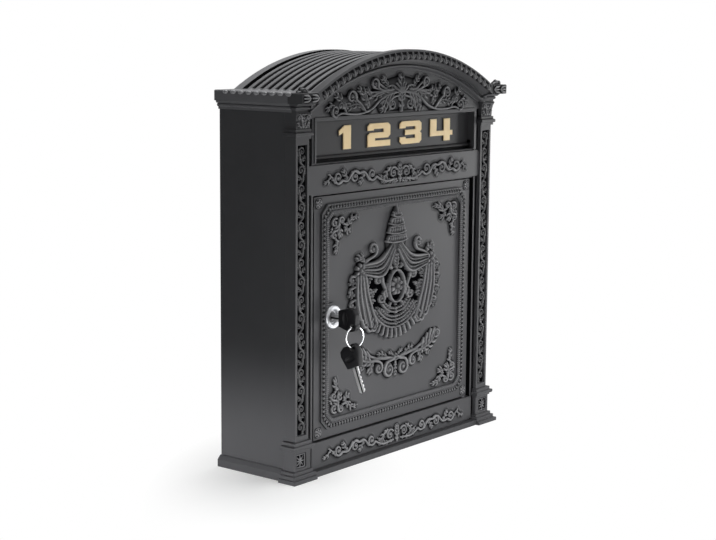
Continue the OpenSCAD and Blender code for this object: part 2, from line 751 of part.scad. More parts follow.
module mail_flap() {
    color(iron) difference() {
        union() {
            span([-flap_x, -flap_y, flap_z0], [flap_x, -flap_back_y, rod_z]);
            translate([-flap_x, -rod_y, rod_z]) rotate([0, 90, 0]) cylinder(r = roll_r, h = flap_x * 2);
            translate([-flap_x, -flap_y, flap_z0 + lip_d / 2]) rotate([0, 90, 0]) cylinder(d = lip_d, h = flap_x * 2);
        }
        translate([-flap_x - 1, -rod_y, rod_z]) rotate([0, 90, 0]) cylinder(r = rod_r + run_c, h = flap_x * 2 + 2);
    }
}

// Outline of the leaf moulding: a rectangle with cut corners
module ring_outline(half, z0, z1, cut) {
    polygon([
        [-half + cut, z0], [half - cut, z0], [half, z0 + cut], [half, z1 - cut],
        [half - cut, z1], [-half + cut, z1], [-half, z1 - cut], [-half, z0 + cut]
    ]);
}

// Ornament in the middle of the door: finial, swags, curtains, oval frame, leaf scrolls and fringed apron
module centre_ornament() {
    mirrored() {
        polygon([[-1, 236], [13, 236], [11, 249], [6, 263], [1, 273], [-1, 273]]);
        band([[6, 235], [15, 222], [28, 216], [44, 213.5], [59, 214]], 2.2, 2.2);
        band([[4, 231], [13, 216], [26, 209], [42, 207.3], [58, 209]], 2.4, 2.2);
        band([[3, 227], [12, 210], [24, 202], [40, 201.2], [57, 205]], 2.4, 2.2);
        translate([64, 210]) circle(4.6, $fn = 12);
        volute([41, 231], 7.6, 250, -1, [[58, 216], [50, 220]]);
        for (f = [[55, 49.5, 34, 147], [58.5, 54.5, 42, 143], [62, 59.3, 50, 146], [65.5, 64.2, 57, 153], [69, 69.2, 64, 162]])
            band([[f[0], 204], [f[1], 181], [(f[1] + f[2]) / 2 + 1.2, (181 + f[3]) / 2], [f[2], f[3]]], stem_w, stem_w * 1.6);
        for (f = [[76, 201, 4.6], [77.5, 188, 4.4], [76.5, 174, 4.4], [72, 161, 4.2]])
            band([[f[0] - 9, f[1] + 3], [f[0] - 5, f[1] + 4.4], [f[0], f[1] + f[2]], [f[0] + f[2], f[1]], [f[0], f[1] - f[2]]], stem_w, stem_w);
        volute([31, 196], 7.2, 200, -1, [[16, 176], [20, 186]]);
        volute([26, 175], 6.2, 120, 1, [[15, 190], [19, 184]]);
        frond([[8, 206], [14, 213], [13, 221]], 2, 4.5);
        frond([[10, 168], [17, 160], [26, 160], [33, 165]], 3, 4.2);
        for (r = [33, 42, 50]) band([for (a = [0:8.3:50]) [r * sin(a), 190 - r * cos(a)]], 1, 1);
        for (a = [0:8.2:55]) band([[52 * sin(a), 190 - 52 * cos(a)], [59.5 * sin(a), 190 - 59.5 * cos(a)]], stem_w, stem_w * 1.5);
    }
    translate([0, 186]) difference() {
        scale([14.6, 18.6]) circle(1, $fn = 24);
        scale([13.4, 17.4]) circle(1, $fn = 24);
    }
    translate([0, 186]) circle(2.6, $fn = 8);
    frond([[0, 205], [0, 213], [0, 223]], 3, 5);
}

// Scroll low on the door: two volutes under a knot, and an arm that rises to a curled leaf on each side
module lower_scroll() {
    translate([0, 105.5]) circle(3, $fn = 12);
    mirrored() {
        band([[0, 104], [16, 106.5], [30, 108.2], [44, 107.5]], stem_w * 1.2, stem_w);
        volute([12.5, 93], 9.2, 62, -1, [[2, 106], [8, 103.5]]);
        volute([31, 97.5], 6.6, 118, 1, [[44, 107], [37, 106.5]]);
        frond([[42, 107], [52, 108], [63, 112], [72, 119], [75.5, 125]], 4, 7);
        band([[73, 121.5], [75, 125], [79, 125.4], [81.5, 122], [80, 118.5]], stem_w, stem_w * 0.8);
        frond([[40, 106], [46, 101], [45, 95]], 2, 4.2);
    }
}

// Spray of leaf curls in a corner of the door's field, from the corner along +X and down
module corner_spray() {
    volute([7.5, -8], 5, 60, 1);
    volute([19, -6.6], 4.8, 200, -1, [[8, -14], [13, -11]]);
    volute([7, -21], 4.6, 70, 1, [[15, -10], [13, -15]]);
    frond([[10, -12], [15, -17], [18, -23]], 2, 4.2);
    band([[22, -10], [29, -12], [33, -8], [39, -4.5], [47, -5.5]], stem_w * 1.1, stem_w * 0.6);
    band([[9, -25], [12, -30], [9, -35], [10, -40.5]], stem_w * 1.1, stem_w * 0.6);
}

module door() {
    z0 = leaf_z0 + 9;
    z1 = leaf_z1 - 8.5;
    color(iron) difference() {
        union() {
            slab(door_back_y, door_y) translate([-leaf_x, leaf_z0]) square([leaf_x * 2, leaf_z1 - leaf_z0]);
            slab(door_back_y - rim_t, door_back_y + 1) difference() {
                translate([-leaf_x, leaf_z0]) square([leaf_x * 2, leaf_z1 - leaf_z0]);
                translate([-leaf_x + rim_t, leaf_z0 + rim_t]) square([(leaf_x - rim_t) * 2, leaf_z1 - leaf_z0 - rim_t * 2]);
            }
            slab(door_y - 1, door_y + ring_out) difference() {
                ring_outline(ring_half_w, z0, z1, 10);
                ring_outline(ring_half_w - ring_w, z0 + ring_w, z1 - ring_w, 8);
            }
            for (z = [leaf_z0, leaf_z1 - pivot_l - 2])
                span([pivot_x - hub_w / 2, -door_y, z], [leaf_x, -(door_back_y - rim_t), z + pivot_l + 2]);
            bar_y(-lock_x, lock_z, flange_r + 3, door_y - 1, door_y + ring_out);
        }
        bar_y(-lock_x, lock_z, barrel_d / 2, 0, arch_y);
        for (z = [leaf_z0 - 1, leaf_z1 - pivot_l])
            translate([pivot_x, -pivot_y, z]) cylinder(r = pivot_r, h = pivot_l + 1);
    }
    color(iron) {
        carved(door_y, ornament_h) door_field() centre_ornament();
        carved(door_y, spray_h) door_field() {
            lower_scroll();
            mirrored() {
                translate([-115, 273.4]) corner_spray();
                translate([-115, 58]) mirror([0, 1]) corner_spray();
            }
        }
        for (x = [-1, 1], z = [leaf_z0 + 7.7, leaf_z1 - 7.1])
            bar_y(x * (ring_half_w + 2.9), z, 3.4, door_y - 1, door_y + 1);
    }
}

// Fits a drawing made for a field 259 wide and 240.5 high to the field of the door
module door_field() {
    translate([0, leaf_z0 + 9]) scale([ring_half_w / 129.6, (leaf_z1 - leaf_z0 - 17.5) / 240.5])
        translate([0, -45.5]) children();
}

module pivot_pin_upper() {
    color(nickel) translate([pivot_x, -pivot_y, leaf_z1 - pivot_l]) cylinder(r = pivot_r, h = pivot_l * 2 - 2);
}

module pivot_pin_lower() {
    color(nickel) translate([pivot_x, -pivot_y, leaf_z0 - pivot_l + 2]) cylinder(r = pivot_r, h = pivot_l * 2 - 2);
}

module pivot_washer() {
    color(nickel) translate([pivot_x, -pivot_y, door_sill_z]) difference() {
        cylinder(r = pivot_r + 2, h = door_gap - pass_c);
        translate([0, 0, -1]) cylinder(r = pivot_r + run_c, h = 3);
    }
}

// Barrel turned in one piece with its flange, which is a rounded ring open down to the plug
module lock_barrel() {
    r = barrel_d / 2;
    face = door_y + ring_out;
    color(chrome) translate([-lock_x, 0, lock_z]) rotate([90, 0, 0]) rotate_extrude() polygon(concat(
        [[plug_d / 2 + run_c, barrel_y1], [r, barrel_y1], [r, face], [flange_r, face]],
        arc_pts([flange_r - 1.5, flange_y - 1.5], 1.5, 0, 90, 4),
        [[r - 0.5, flange_y], [r - 1.5, flange_y - 1], [r - 1.5, plug_y1], [plug_d / 2 + run_c, plug_y1]]
    ));
}

module lock_nut() {
    color(nickel) difference() {
        translate([-lock_x, -door_back_y, lock_z]) rotate([-90, 0, 0]) cylinder(r = barrel_d / 2 + 4.5, h = nut_t, $fn = 6);
        bar_y(-lock_x, lock_z, barrel_d / 2, 0, arch_y);
    }
}

module lock_plug() {
    color(chrome) difference() {
        bar_y(-lock_x, lock_z, plug_d / 2, plug_y0, plug_y1);
        span([-lock_x - blade_t / 2 - run_c, -plug_y1 - 1, lock_z - blade_h / 2 - run_c],
             [-lock_x + blade_t / 2 + run_c, -tip_y + 0.5, lock_z + blade_h / 2 + run_c]);
        bar_y(-lock_x, lock_z, 1.5, plug_y0 - 1, plug_y0 + 4);
    }
}

// The lock is open at rest: its cam hangs down beside the jamb
module lock_cam() {
    color(nickel) difference() {
        slab(cam_y1 - cam_t, cam_y1) translate([-lock_x, lock_z]) union() {
            circle(d = cam_w);
            translate([-cam_w / 2, -cam_l + cam_w / 2]) square([cam_w, cam_l - cam_w / 2]);
            translate([0, -cam_l + cam_w / 2]) circle(d = cam_w);
        }
        bar_y(-lock_x, lock_z, 1.5, 0, arch_y);
    }
}

module cam_screw() {
    color(nickel) {
        bar_y(-lock_x, lock_z, 1.5, cam_y1 - cam_t - 1, plug_y0 + 4);
        bar_y(-lock_x, lock_z, 3.5, cam_y1 - cam_t - 2, cam_y1 - cam_t);
    }
}

// Blade of a key in the plane X = 0, its tip at the origin and its shoulder at -Y, cut along the lower edge
module blade() {
    l = blade_l + 6;
    cuts = [for (i = [0:3]) each [[-3.5 - i * 4.5, -1], [-5.5 - i * 4.5, 1.2 + (i % 2) * 0.8], [-7.5 - i * 4.5, -1]]];
    rotate([90, 0, 90]) translate([0, -blade_h / 2, -blade_t / 2]) linear_extrude(blade_t) difference() {
        polygon([[0, blade_h * 0.4], [-2.5, 0], [-l, 0], [-l, blade_h], [-1.5, blade_h], [0, blade_h * 0.7]]);
        for (i = [0:3]) polygon([cuts[i * 3], cuts[i * 3 + 1], cuts[i * 3 + 2]]);
    }
}

// Head of a key in the plane X = 0: blade side at the origin, reaching to -Y, the eye low at its far end
module head() {
    w = head_w / 2;
    rotate([90, 0, 90]) difference() {
        translate([0, 0, -head_t / 2]) linear_extrude(head_t) offset(2) offset(-2) polygon([
            [0, -w * 0.7], [0, w * 0.7], [-head_l * 0.62, w], [-head_l * 0.84, w * 0.9], [-head_l, w * 0.5],
            [-head_l, -w * 0.75], [-head_l * 0.9, -w * 0.9], [-head_l * 0.62, -w]
        ]);
        translate([-head_l + eye_in, -eye_down, -head_t]) cylinder(r = eye_r, h = head_t * 2);
        translate([-6, -blade_h / 2, -blade_t / 2]) cube([7, blade_h, blade_t]);
        for (z = [-1, 1]) translate([-head_l * 0.42, 1, z * head_t / 2]) scale([1, 2, 1]) cylinder(r = 3, h = 1.2, center = true);
    }
}

module key_blade() {
    color(nickel) translate([-lock_x, -tip_y, lock_z]) blade();
}

module key_head() {
    color(plastic) translate([-lock_x, -head_y, lock_z]) head();
}

// The ring hangs square to the key's head, through its eye
module key_ring() {
    color(chrome) translate([-lock_x, -hole_y, ring_z]) rotate([90, 0, -ring_turn]) rotate_extrude($fn = 64)
        translate([ring_r, 0]) circle(r = wire_r, $fn = 16);
}

// Puts a key so that its eye hangs on the bottom of the ring, blade down
module hung() {
    translate([-lock_x, -hole_y, spare_z]) rotate([-90 - spare_lean, 0, 0])
        translate([0, head_l - eye_in, eye_down]) children();
}

module spare_key_blade() {
    color(nickel) hung() translate([0, blade_l, 0]) blade();
}

module spare_key_head() {
    color(plastic) hung() head();
}

back_plate();
left_side();
right_side();
floor_plate();
roof();
front_casting();
case_screws();
flap_rod();
rod_clips();
mail_flap();
door();
pivot_pin_upper();
pivot_pin_lower();
pivot_washer();
lock_barrel();
lock_nut();
lock_plug();
lock_cam();
cam_screw();
key_blade();
key_head();
key_ring();
spare_key_blade();
spare_key_head();
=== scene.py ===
"""Classical wall letter box: cast front with carved relief, ribbed roof, slot flap, locked door and keys."""
import math

import bmesh
import bpy
import numpy as np
from mathutils import Matrix, Vector


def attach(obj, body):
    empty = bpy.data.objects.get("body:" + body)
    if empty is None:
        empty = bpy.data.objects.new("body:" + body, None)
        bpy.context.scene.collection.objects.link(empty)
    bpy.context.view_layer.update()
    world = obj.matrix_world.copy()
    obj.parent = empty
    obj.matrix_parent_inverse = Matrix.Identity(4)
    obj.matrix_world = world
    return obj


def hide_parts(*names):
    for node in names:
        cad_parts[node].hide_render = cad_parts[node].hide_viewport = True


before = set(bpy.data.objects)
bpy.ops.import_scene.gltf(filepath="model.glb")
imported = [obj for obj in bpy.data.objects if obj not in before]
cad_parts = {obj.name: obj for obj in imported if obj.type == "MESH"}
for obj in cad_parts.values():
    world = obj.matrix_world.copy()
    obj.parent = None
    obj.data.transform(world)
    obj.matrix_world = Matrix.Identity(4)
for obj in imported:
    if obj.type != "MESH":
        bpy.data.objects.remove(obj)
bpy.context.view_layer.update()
MM = 0.001

# The camera stands in front and to the left of the box, a little above its middle. Its place, turn and
# lens were fitted to the edges of the case in the photograph, which is 716 pixels wide.
view_turn = math.radians(-51.369)
view_tilt = math.radians(8.730)
view_roll = math.radians(0.449)
view_target = Vector((-3.912, -50.0, 198.341)) * MM
view_distance = 1.8021
photo_width_px = 716
focal_px = 1605.2


def placed(name, data):
    """New object of the scene, at the origin, that holds a camera, a lamp or a mesh"""
    thing = bpy.data.objects.new(name, data)
    bpy.context.collection.objects.link(thing)
    return thing


camera_data = bpy.data.cameras.new("camera")
camera_data.sensor_width = 36.0
camera_data.lens = camera_data.sensor_width * focal_px / photo_width_px
camera = placed("camera", camera_data)
back = Vector((math.sin(view_turn) * math.cos(view_tilt), -math.cos(view_turn) * math.cos(view_tilt),
               math.sin(view_tilt)))
right = Vector((math.cos(view_turn), math.sin(view_turn), 0.0))
up = back.cross(right)
right_rolled = right * math.cos(view_roll) + up * math.sin(view_roll)
up_rolled = up * math.cos(view_roll) - right * math.sin(view_roll)
camera.matrix_world = (Matrix.Translation(view_target + back * view_distance)
                       @ Matrix((right_rolled, up_rolled, back)).transposed().to_4x4())
bpy.context.scene.camera = camera
bpy.context.scene.view_settings.view_transform = "Standard"

# The studio: a pale floor that keeps the box's soft shadow, six soft lights and a white room. The low
# lights in front of the box and at its left lift the foot of the casting, as a white table does.


def wire(node, inputs):
    """Sets inputs of a node, each to a plain value or to the socket that feeds it"""
    for socket, value in inputs.items():
        if isinstance(value, bpy.types.NodeSocket):
            node.id_data.links.new(value, node.inputs[socket])
        else:
            node.inputs[socket].default_value = value
    return node


def add_node(tree, kind, inputs=(), **settings):
    """New node of a tree with its own settings, and its inputs as wire takes them"""
    node = tree.nodes.new(kind)
    for name, value in settings.items():
        setattr(node, name, value)
    return wire(node, dict(inputs))


def worked_out(tree, operation, *values):
    """Result of a Math node"""
    return add_node(tree, "ShaderNodeMath", dict(enumerate(values)), operation=operation).outputs[0]


def ramp(tree, value, given=(0, 1), wanted=(0, 1)):
    """Result that runs through the wanted range as a value runs through the given one, and no further"""
    return add_node(tree, "ShaderNodeMapRange", {"Value": value, "From Min": given[0], "From Max": given[1],
                                                 "To Min": wanted[0], "To Max": wanted[1]}).outputs["Result"]


floor_reach = 3.0
floor_material = bpy.data.materials.new("pale_floor")
floor_material.use_nodes = True
tree = floor_material.node_tree
tree.nodes.clear()
spot = add_node(tree, "ShaderNodeTexCoord").outputs["Object"]
# painted light that bounces off the floor: the floor's colour is lighter beside the box and darker far from it
from_box = add_node(tree, "ShaderNodeVectorMath", {0: spot, 1: (0.25, -0.35, 0.0)}, operation="DISTANCE")
bounce = add_node(tree, "ShaderNodeBsdfDiffuse",
                  {"Color": ramp(tree, from_box.outputs["Value"], (0.35, 1.6), (0.85, 0.10))})
# what the camera sees: the soft shadow on a lit coat, which fades to white round the foot of the box
shadow_coat = add_node(tree, "ShaderNodeBsdfDiffuse", {"Color": (0.72, 0.72, 0.72, 1)})
glow = add_node(tree, "ShaderNodeEmission", {"Color": (0.36, 0.36, 0.355, 1)})
lit_coat = add_node(tree, "ShaderNodeAddShader", {0: shadow_coat.outputs[0], 1: glow.outputs[0]})
foot = add_node(tree, "ShaderNodeMapping", {
    "Vector": spot, "Location": (-0.20, -0.11, 0.0), "Rotation": (0.0, 0.0, math.radians(39)),
    "Scale": (2.0, 1.0, 1.0)}, vector_type="TEXTURE")
from_foot = add_node(tree, "ShaderNodeVectorMath", {0: foot.outputs["Vector"]}, operation="LENGTH")
white = add_node(tree, "ShaderNodeEmission")
camera_coat = add_node(tree, "ShaderNodeMixShader", {"Fac": ramp(tree, from_foot.outputs["Value"], (0.03, 0.14)),
                                                     1: lit_coat.outputs[0], 2: white.outputs[0]})
ray = add_node(tree, "ShaderNodeLightPath").outputs
seen = add_node(tree, "ShaderNodeMixShader",
                {"Fac": ray["Is Camera Ray"], 1: bounce.outputs[0], 2: camera_coat.outputs[0]})
add_node(tree, "ShaderNodeOutputMaterial", {"Surface": seen.outputs[0]})

floor_mesh = bpy.data.meshes.new("floor")
floor_mesh.from_pydata([(-floor_reach, -floor_reach, 0), (floor_reach, -floor_reach, 0),
                        (floor_reach, floor_reach, 0), (-floor_reach, floor_reach, 0)], [], [(0, 1, 2, 3)])
floor_mesh.materials.append(floor_material)
floor = placed("floor", floor_mesh)

world = bpy.data.worlds.new("white_room")
world.use_nodes = True
bpy.context.scene.world = world
tree = world.node_tree
tree.nodes.clear()
ray = add_node(tree, "ShaderNodeLightPath").outputs
# the room is a dim light source, but the camera, gloss and glass see its white walls, greyer at the left
way = add_node(tree, "ShaderNodeTexCoord").outputs["Generated"]
way_x = add_node(tree, "ShaderNodeSeparateXYZ", {0: way}).outputs["X"]
flag = ramp(tree, way_x, (-0.75, 0.35), (0.45, 0.72))
white_wall = add_node(tree, "ShaderNodeBackground", {
    "Color": (1, 1, 1, 1), "Strength": worked_out(tree, "MAXIMUM", flag, ray["Is Camera Ray"])})
dim_wall = add_node(tree, "ShaderNodeBackground", {"Color": (0.9, 0.95, 1.0, 1), "Strength": 0.11})
seen_white = worked_out(tree, "MAXIMUM", ray["Is Camera Ray"], ray["Is Glossy Ray"])
seen_through = worked_out(tree, "MAXIMUM", seen_white, ray["Is Transmission Ray"])
room = add_node(tree, "ShaderNodeMixShader",
                {"Fac": seen_through, 1: dim_wall.outputs[0], 2: white_wall.outputs[0]})
add_node(tree, "ShaderNodeOutputWorld", {"Surface": room.outputs[0]})


def soft_light(name, place, aim, size, power, spread=180):
    """Rectangular lamp that looks at a point: metres, watts, and the spread of its light in degrees"""
    lamp = bpy.data.lights.new(name, "AREA")
    lamp.spread = math.radians(spread)
    lamp.shape = "RECTANGLE"
    lamp.size, lamp.size_y = size
    lamp.energy = power
    holder = placed(name, lamp)
    holder.location = place
    holder.rotation_euler = (Vector(aim) - Vector(place)).to_track_quat("-Z", "Y").to_euler()


soft_light("overhead_softbox", (0.2, -0.16, 1.5), (0.0, -0.05, 0.2), (0.8, 0.5), 16.0)
soft_light("right_softbox", (1.25, -0.46, 0.15), (0.05, -0.1, 0.08), (0.4, 0.3), 4.8)
soft_light("front_fill", (0.6, -1.5, 0.12), (0.0, -0.1, 0.10), (0.9, 0.24), 1.4)
soft_light("table_light", (-0.08, -0.42, 0.03), (-0.06, -0.08, 0.05), (0.7, 0.12), 1.55)
soft_light("left_fill", (-1.6, 0.25, 0.35), (-0.18, -0.05, 0.2), (0.8, 0.8), 1.7)
soft_light("left_table_light", (-0.50, -0.05, 0.03), (-0.18, -0.05, 0.025), (0.3, 0.03), 0.125, 40)

# The case: back, two side plates, floor plate and roof, cast and painted in satin anthracite, screwed
# together from inside. The front and the door wear the same paint: fine cast grain and a little cloudiness.
# The roof wears a lighter copy of it, as painted light on the top, and painted shade darkens the grooves
# between the ribs of the roof and the narrow reveals round the door.


def named_group(name, kind, inputs, outputs):
    """Node group with named inputs and outputs, and the sockets that its inputs come in by"""
    group = bpy.data.node_groups.new(name, kind)
    for way, sockets in (("INPUT", inputs), ("OUTPUT", outputs)):
        for socket, what in sockets.items():
            group.interface.new_socket(socket, in_out=way, socket_type="NodeSocket" + what)
    return group, group.nodes.new("NodeGroupInput").outputs


def mixed(tree, share, first, second):
    """Colour that runs from the first to the second as share runs from 0 to 1"""
    return add_node(tree, "ShaderNodeMix", {"Factor": share, "A": first, "B": second},
                    data_type="RGBA").outputs["Result"]


# cast grain under a finish: a height for bump, and a slow cloud for colour and roughness
cast_grain, given = named_group("cast_grain", "ShaderNodeTree", {"Grain Scale": "Float", "Cloud Scale": "Float"},
                                {"Height": "Float", "Cloud": "Float"})
spot = add_node(cast_grain, "ShaderNodeTexCoord").outputs["Object"]
grain = add_node(cast_grain, "ShaderNodeTexNoise",
                 {"Vector": spot, "Scale": given["Grain Scale"], "Detail": 3, "Roughness": 0.6})
cloud = add_node(cast_grain, "ShaderNodeTexNoise", {"Vector": spot, "Scale": given["Cloud Scale"], "Detail": 4})
add_node(cast_grain, "NodeGroupOutput", {"Height": grain.outputs["Fac"], "Cloud": cloud.outputs["Fac"]})

# painted shade and painted highlight of carved paint: darker by the recess and lighter by the crest that each
# carving carries as attributes
carved_shade_and_highlight, given = named_group("carved_shade_and_highlight", "ShaderNodeTree",
                                 {"Colour": "Color", "Recess": "Color", "Crest": "Color"}, {"Colour": "Color"})
toned = given["Colour"]
for attribute in ("recess", "crest"):
    share = add_node(carved_shade_and_highlight, "ShaderNodeAttribute", attribute_name=attribute).outputs["Fac"]
    toned = mixed(carved_shade_and_highlight, share, toned, given[attribute.title()])
add_node(carved_shade_and_highlight, "NodeGroupOutput", {"Colour": toned})


def finish(name, grain_scale, cloud_scale):
    """New material with cast grain in it, its tree, its shader and the outputs of the grain"""
    material = bpy.data.materials.new(name)
    material.use_nodes = True
    tree = material.node_tree
    grain = add_node(tree, "ShaderNodeGroup", {"Grain Scale": grain_scale, "Cloud Scale": cloud_scale},
                     node_tree=cast_grain)
    return material, tree, tree.nodes["Principled BSDF"], grain.outputs


def fine_relief(tree, height, strength, depth, arris=0.0):
    """Normal of a fine surface. depth, and the radius to which edges look worn, are in millimetres"""
    bump = add_node(tree, "ShaderNodeBump", {"Strength": strength, "Distance": depth * MM, "Height": height})
    if arris:
        worn = add_node(tree, "ShaderNodeBevel", {"Radius": arris * MM}, samples=4)
        wire(bump, {"Normal": worn.outputs["Normal"]})
    return bump.outputs["Normal"]


def place_parts(tree):
    """X, Y and Z of a spot on the piece, in metres"""
    spot = add_node(tree, "ShaderNodeTexCoord").outputs["Object"]
    return add_node(tree, "ShaderNodeSeparateXYZ", {0: spot}).outputs


rib_pitch, rib_start = 10.78, 12.0
rib_foot_z, last_groove_y = 404.0, -10.6


def paint(name, dark, light, rough=0.42, carved=0.0, ribs=False):
    """Satin paint over a casting. carved is the tone of the painted highlight on the crests of carved paint, which
    has painted shade, almost black, in its recesses; ribs paints shade into the grooves between the ribs of the roof"""
    material, tree, shader, grain = finish(name, 1100, 16)
    shader.inputs["Specular IOR Level"].default_value = 0.22
    colour = mixed(tree, grain["Cloud"], (*dark, 1), (*light, 1))
    if carved:
        # painted shade in the recesses and painted highlight on the crests of the carving
        tones = {"Colour": colour, "Recess": (0.002, 0.002, 0.0025, 1),
                 "Crest": (carved, carved, carved * 1.03, 1)}
        colour = add_node(tree, "ShaderNodeGroup", tones, node_tree=carved_shade_and_highlight).outputs["Colour"]
        painted_shade_share = add_node(tree, "ShaderNodeAttribute", attribute_name="recess").outputs["Fac"]
    if ribs:
        # painted shade: the grooves between the ribs of the roof darken to near black
        parts = place_parts(tree)
        off_groove = worked_out(tree, "PINGPONG", worked_out(tree, "ADD", parts["Y"], rib_start * MM),
                                0.5 * rib_pitch * MM)
        above = worked_out(tree, "GREATER_THAN", parts["Z"], rib_foot_z * MM)
        on_ribs = worked_out(tree, "LESS_THAN", parts["Y"], last_groove_y * MM)
        painted_shade_share = worked_out(tree, "MULTIPLY", ramp(tree, off_groove, (2.3 * MM, 4.1 * MM), (0.95, 0.0)),
                           worked_out(tree, "MULTIPLY", above, on_ribs))
        colour = mixed(tree, painted_shade_share, colour, (0.003, 0.003, 0.0035, 1))
    # painted shade also takes the reflection away
    if carved or ribs:
        wire(shader, {"Specular IOR Level": ramp(tree, painted_shade_share, wanted=(0.24, 0.0))})
    wire(shader, {"Base Color": colour,
                  "Roughness": ramp(tree, grain["Cloud"], wanted=(rough - 0.06, rough + 0.08)),
                  "Normal": fine_relief(tree, grain["Height"], 0.35, 0.06, 0.0 if carved else 0.6)})
    return material


def finish_nodes(material, *node_names):
    """Puts one material on the objects of CAD nodes"""
    for name in node_names:
        piece = bpy.data.objects[name]
        piece.data.materials.clear()
        piece.data.materials.append(material)


anthracite = (0.050, 0.050, 0.053), (0.064, 0.064, 0.068)
case_paint = paint("case_paint", *anthracite)
finish_nodes(case_paint, "back_plate", "left_side", "right_side", "floor_plate")
# the roof wears a lighter copy of the case paint: painted light on the top of the case
lit_roof_paint = paint("lit_roof_paint", (0.13, 0.13, 0.136), (0.17, 0.17, 0.177), ribs=True)
finish_nodes(lit_roof_paint, "roof")

# Front casting and door leaf: two aluminium castings, painted as the case is. Painted shade darkens the
# narrow upright reveals between the pilasters, the surround of the door and the door itself.


def shade_in_reveals(material, *reveals):
    """Painted shade in upright reveals: the middle of |X|, half the width and how far to the front, in millimetres
    """
    tree = material.node_tree
    shader = tree.nodes["Principled BSDF"]
    parts = place_parts(tree)
    out_x = worked_out(tree, "ABSOLUTE", parts["X"])
    reveal_shade = 0.0
    for middle, half, depth in reveals:
        beside = worked_out(tree, "COMPARE", out_x, middle * MM, half * MM)
        behind = worked_out(tree, "GREATER_THAN", parts["Y"], -depth * MM)
        reveal_shade = worked_out(tree, "MAXIMUM", reveal_shade, worked_out(tree, "MULTIPLY", beside, behind))
    unshaded = shader.inputs["Base Color"].links[0].from_socket
    # the reveals are painted near black, as shade, and lose their reflection
    wire(shader, {"Base Color": mixed(tree, reveal_shade, unshaded, (0.004, 0.004, 0.0045, 1)),
                  "Specular IOR Level": ramp(tree, reveal_shade, wanted=(0.22, 0.02))})


front_paint = paint("front_paint", *anthracite)
shade_in_reveals(front_paint, (150.45, 3.2, 101.3), (144.3, 0.25, 102.2))
finish_nodes(front_paint, "front_casting")
door_paint = paint("door_paint", *anthracite)
shade_in_reveals(door_paint, (140.6, 1.0, 103.0))
finish_nodes(door_paint, "door")

# Tympanum: the cast scroll under the arch, 3 to 4 mm proud: a palmette over two inner volutes, with
# acanthus arms that run down to a round curl at each end. Carving is drawn as height over a flat ground.
# carved paint: painted shade, near black, in the recesses of each carving and in a rim round it, and a painted
# highlight on its crests
carved_paint = paint("carved_paint", *anthracite, carved=0.24)


def carving_ground(u0, u1, v0, v1, pitch=0.55):
    """Bare ground: a grid of places in millimetres, and the height of the carving on it"""
    u = np.linspace(u0, u1, int(round((u1 - u0) / pitch)) + 1)
    v = np.linspace(v0, v1, int(round((v1 - v0) / pitch)) + 1)
    return {"u": u, "v": v, "pitch": (u[1] - u[0], v[1] - v[0]), "high": np.zeros((len(v), len(u)))}


def bent(points, steps=10):
    """Smooth line through a few points"""
    p = np.array(points, float)
    p = np.vstack([2 * p[0] - p[1], p, 2 * p[-1] - p[-2]])
    t = np.linspace(0, 1, steps, endpoint=False)[:, None]
    runs = [0.5 * (2 * b + (c - a) * t + (2 * a - 5 * b + 4 * c - d) * t ** 2 + (3 * b - a - 3 * c + d) * t ** 3)
            for a, b, c, d in zip(p, p[1:], p[2:], p[3:])]
    return np.vstack(runs + [p[-2][None, :]])


def carve(ground, line, width, height, groove=0.0):
    """Rounded band along a line. width and height are single values or run from start to end"""
    line = np.asarray(line, float)
    step = np.hypot(*np.diff(line, axis=0).T)
    along = np.concatenate([[0], np.cumsum(step)])
    along = along / max(along[-1], 1e-9)
    widths = np.interp(along, np.linspace(0, 1, np.size(width)), np.ravel(width)) / 2
    heights = np.interp(along, np.linspace(0, 1, np.size(height)), np.ravel(height))
    u, v, high = ground["u"], ground["v"], ground["high"]
    for k in range(len(line) - 1):
        a, b = line[k], line[k + 1]
        reach = max(widths[k], widths[k + 1]) + 0.1
        i0, i1 = np.searchsorted(v, (min(a[1], b[1]) - reach, max(a[1], b[1]) + reach))
        j0, j1 = np.searchsorted(u, (min(a[0], b[0]) - reach, max(a[0], b[0]) + reach))
        if i0 >= i1 or j0 >= j1:
            continue
        du, dv = u[None, j0:j1] - a[0], v[i0:i1, None] - a[1]
        run = b - a
        t = np.clip((du * run[0] + dv * run[1]) / max(run @ run, 1e-9), 0, 1)
        off = np.hypot(du - t * run[0], dv - t * run[1])
        wide = np.maximum(widths[k] + (widths[k + 1] - widths[k]) * t, 0.05)
        share = np.clip(1 - (off / wide) ** 2, 0, 1)
        rise = (heights[k] + (heights[k + 1] - heights[k]) * t) * share ** 0.6
        if groove:
            rise = rise * (1 - groove * np.exp(-(off / (0.3 * wide)) ** 2))
        window = high[i0:i1, j0:j1]
        np.maximum(window, rise, out=window)


def curl(centre, radius, start, turns, hand=1, steps=16):
    """Volute line from its outer end to its eye. start is in degrees, hand 1 turns anticlockwise"""
    t = np.linspace(0, 1, int(steps * turns) + 2)
    angle = math.radians(start) + hand * turns * 2 * math.pi * t
    reach = radius * (1 - 0.82 * t ** 0.9)
    return np.stack([centre[0] + reach * np.cos(angle), centre[1] + reach * np.sin(angle)], axis=1)


def carve_bead(ground, centre, across, height):
    """Round bead"""
    carve(ground, [centre, (centre[0] + 0.01, centre[1])], across, height)


def carve_curl(ground, centre, radius, start, turns=1.35, hand=1, width=2.6, height=3.0, lead=None):
    """Volute with a bead in its eye; lead is the line of the stem that runs into it"""
    line = curl(centre, radius, start, turns, hand)
    if lead is not None:
        line = bent(list(lead) + [line[0], line[3]], 8)
        carve(ground, line, [width * 0.95, width], [height * 0.95, height], 0.25)
        line = curl(centre, radius, start, turns, hand)
    carve(ground, line, [width, width * 0.55], [height, height * 0.75], 0.25)
    carve_bead(ground, centre, width * 0.62 * 2, height * 1.05)


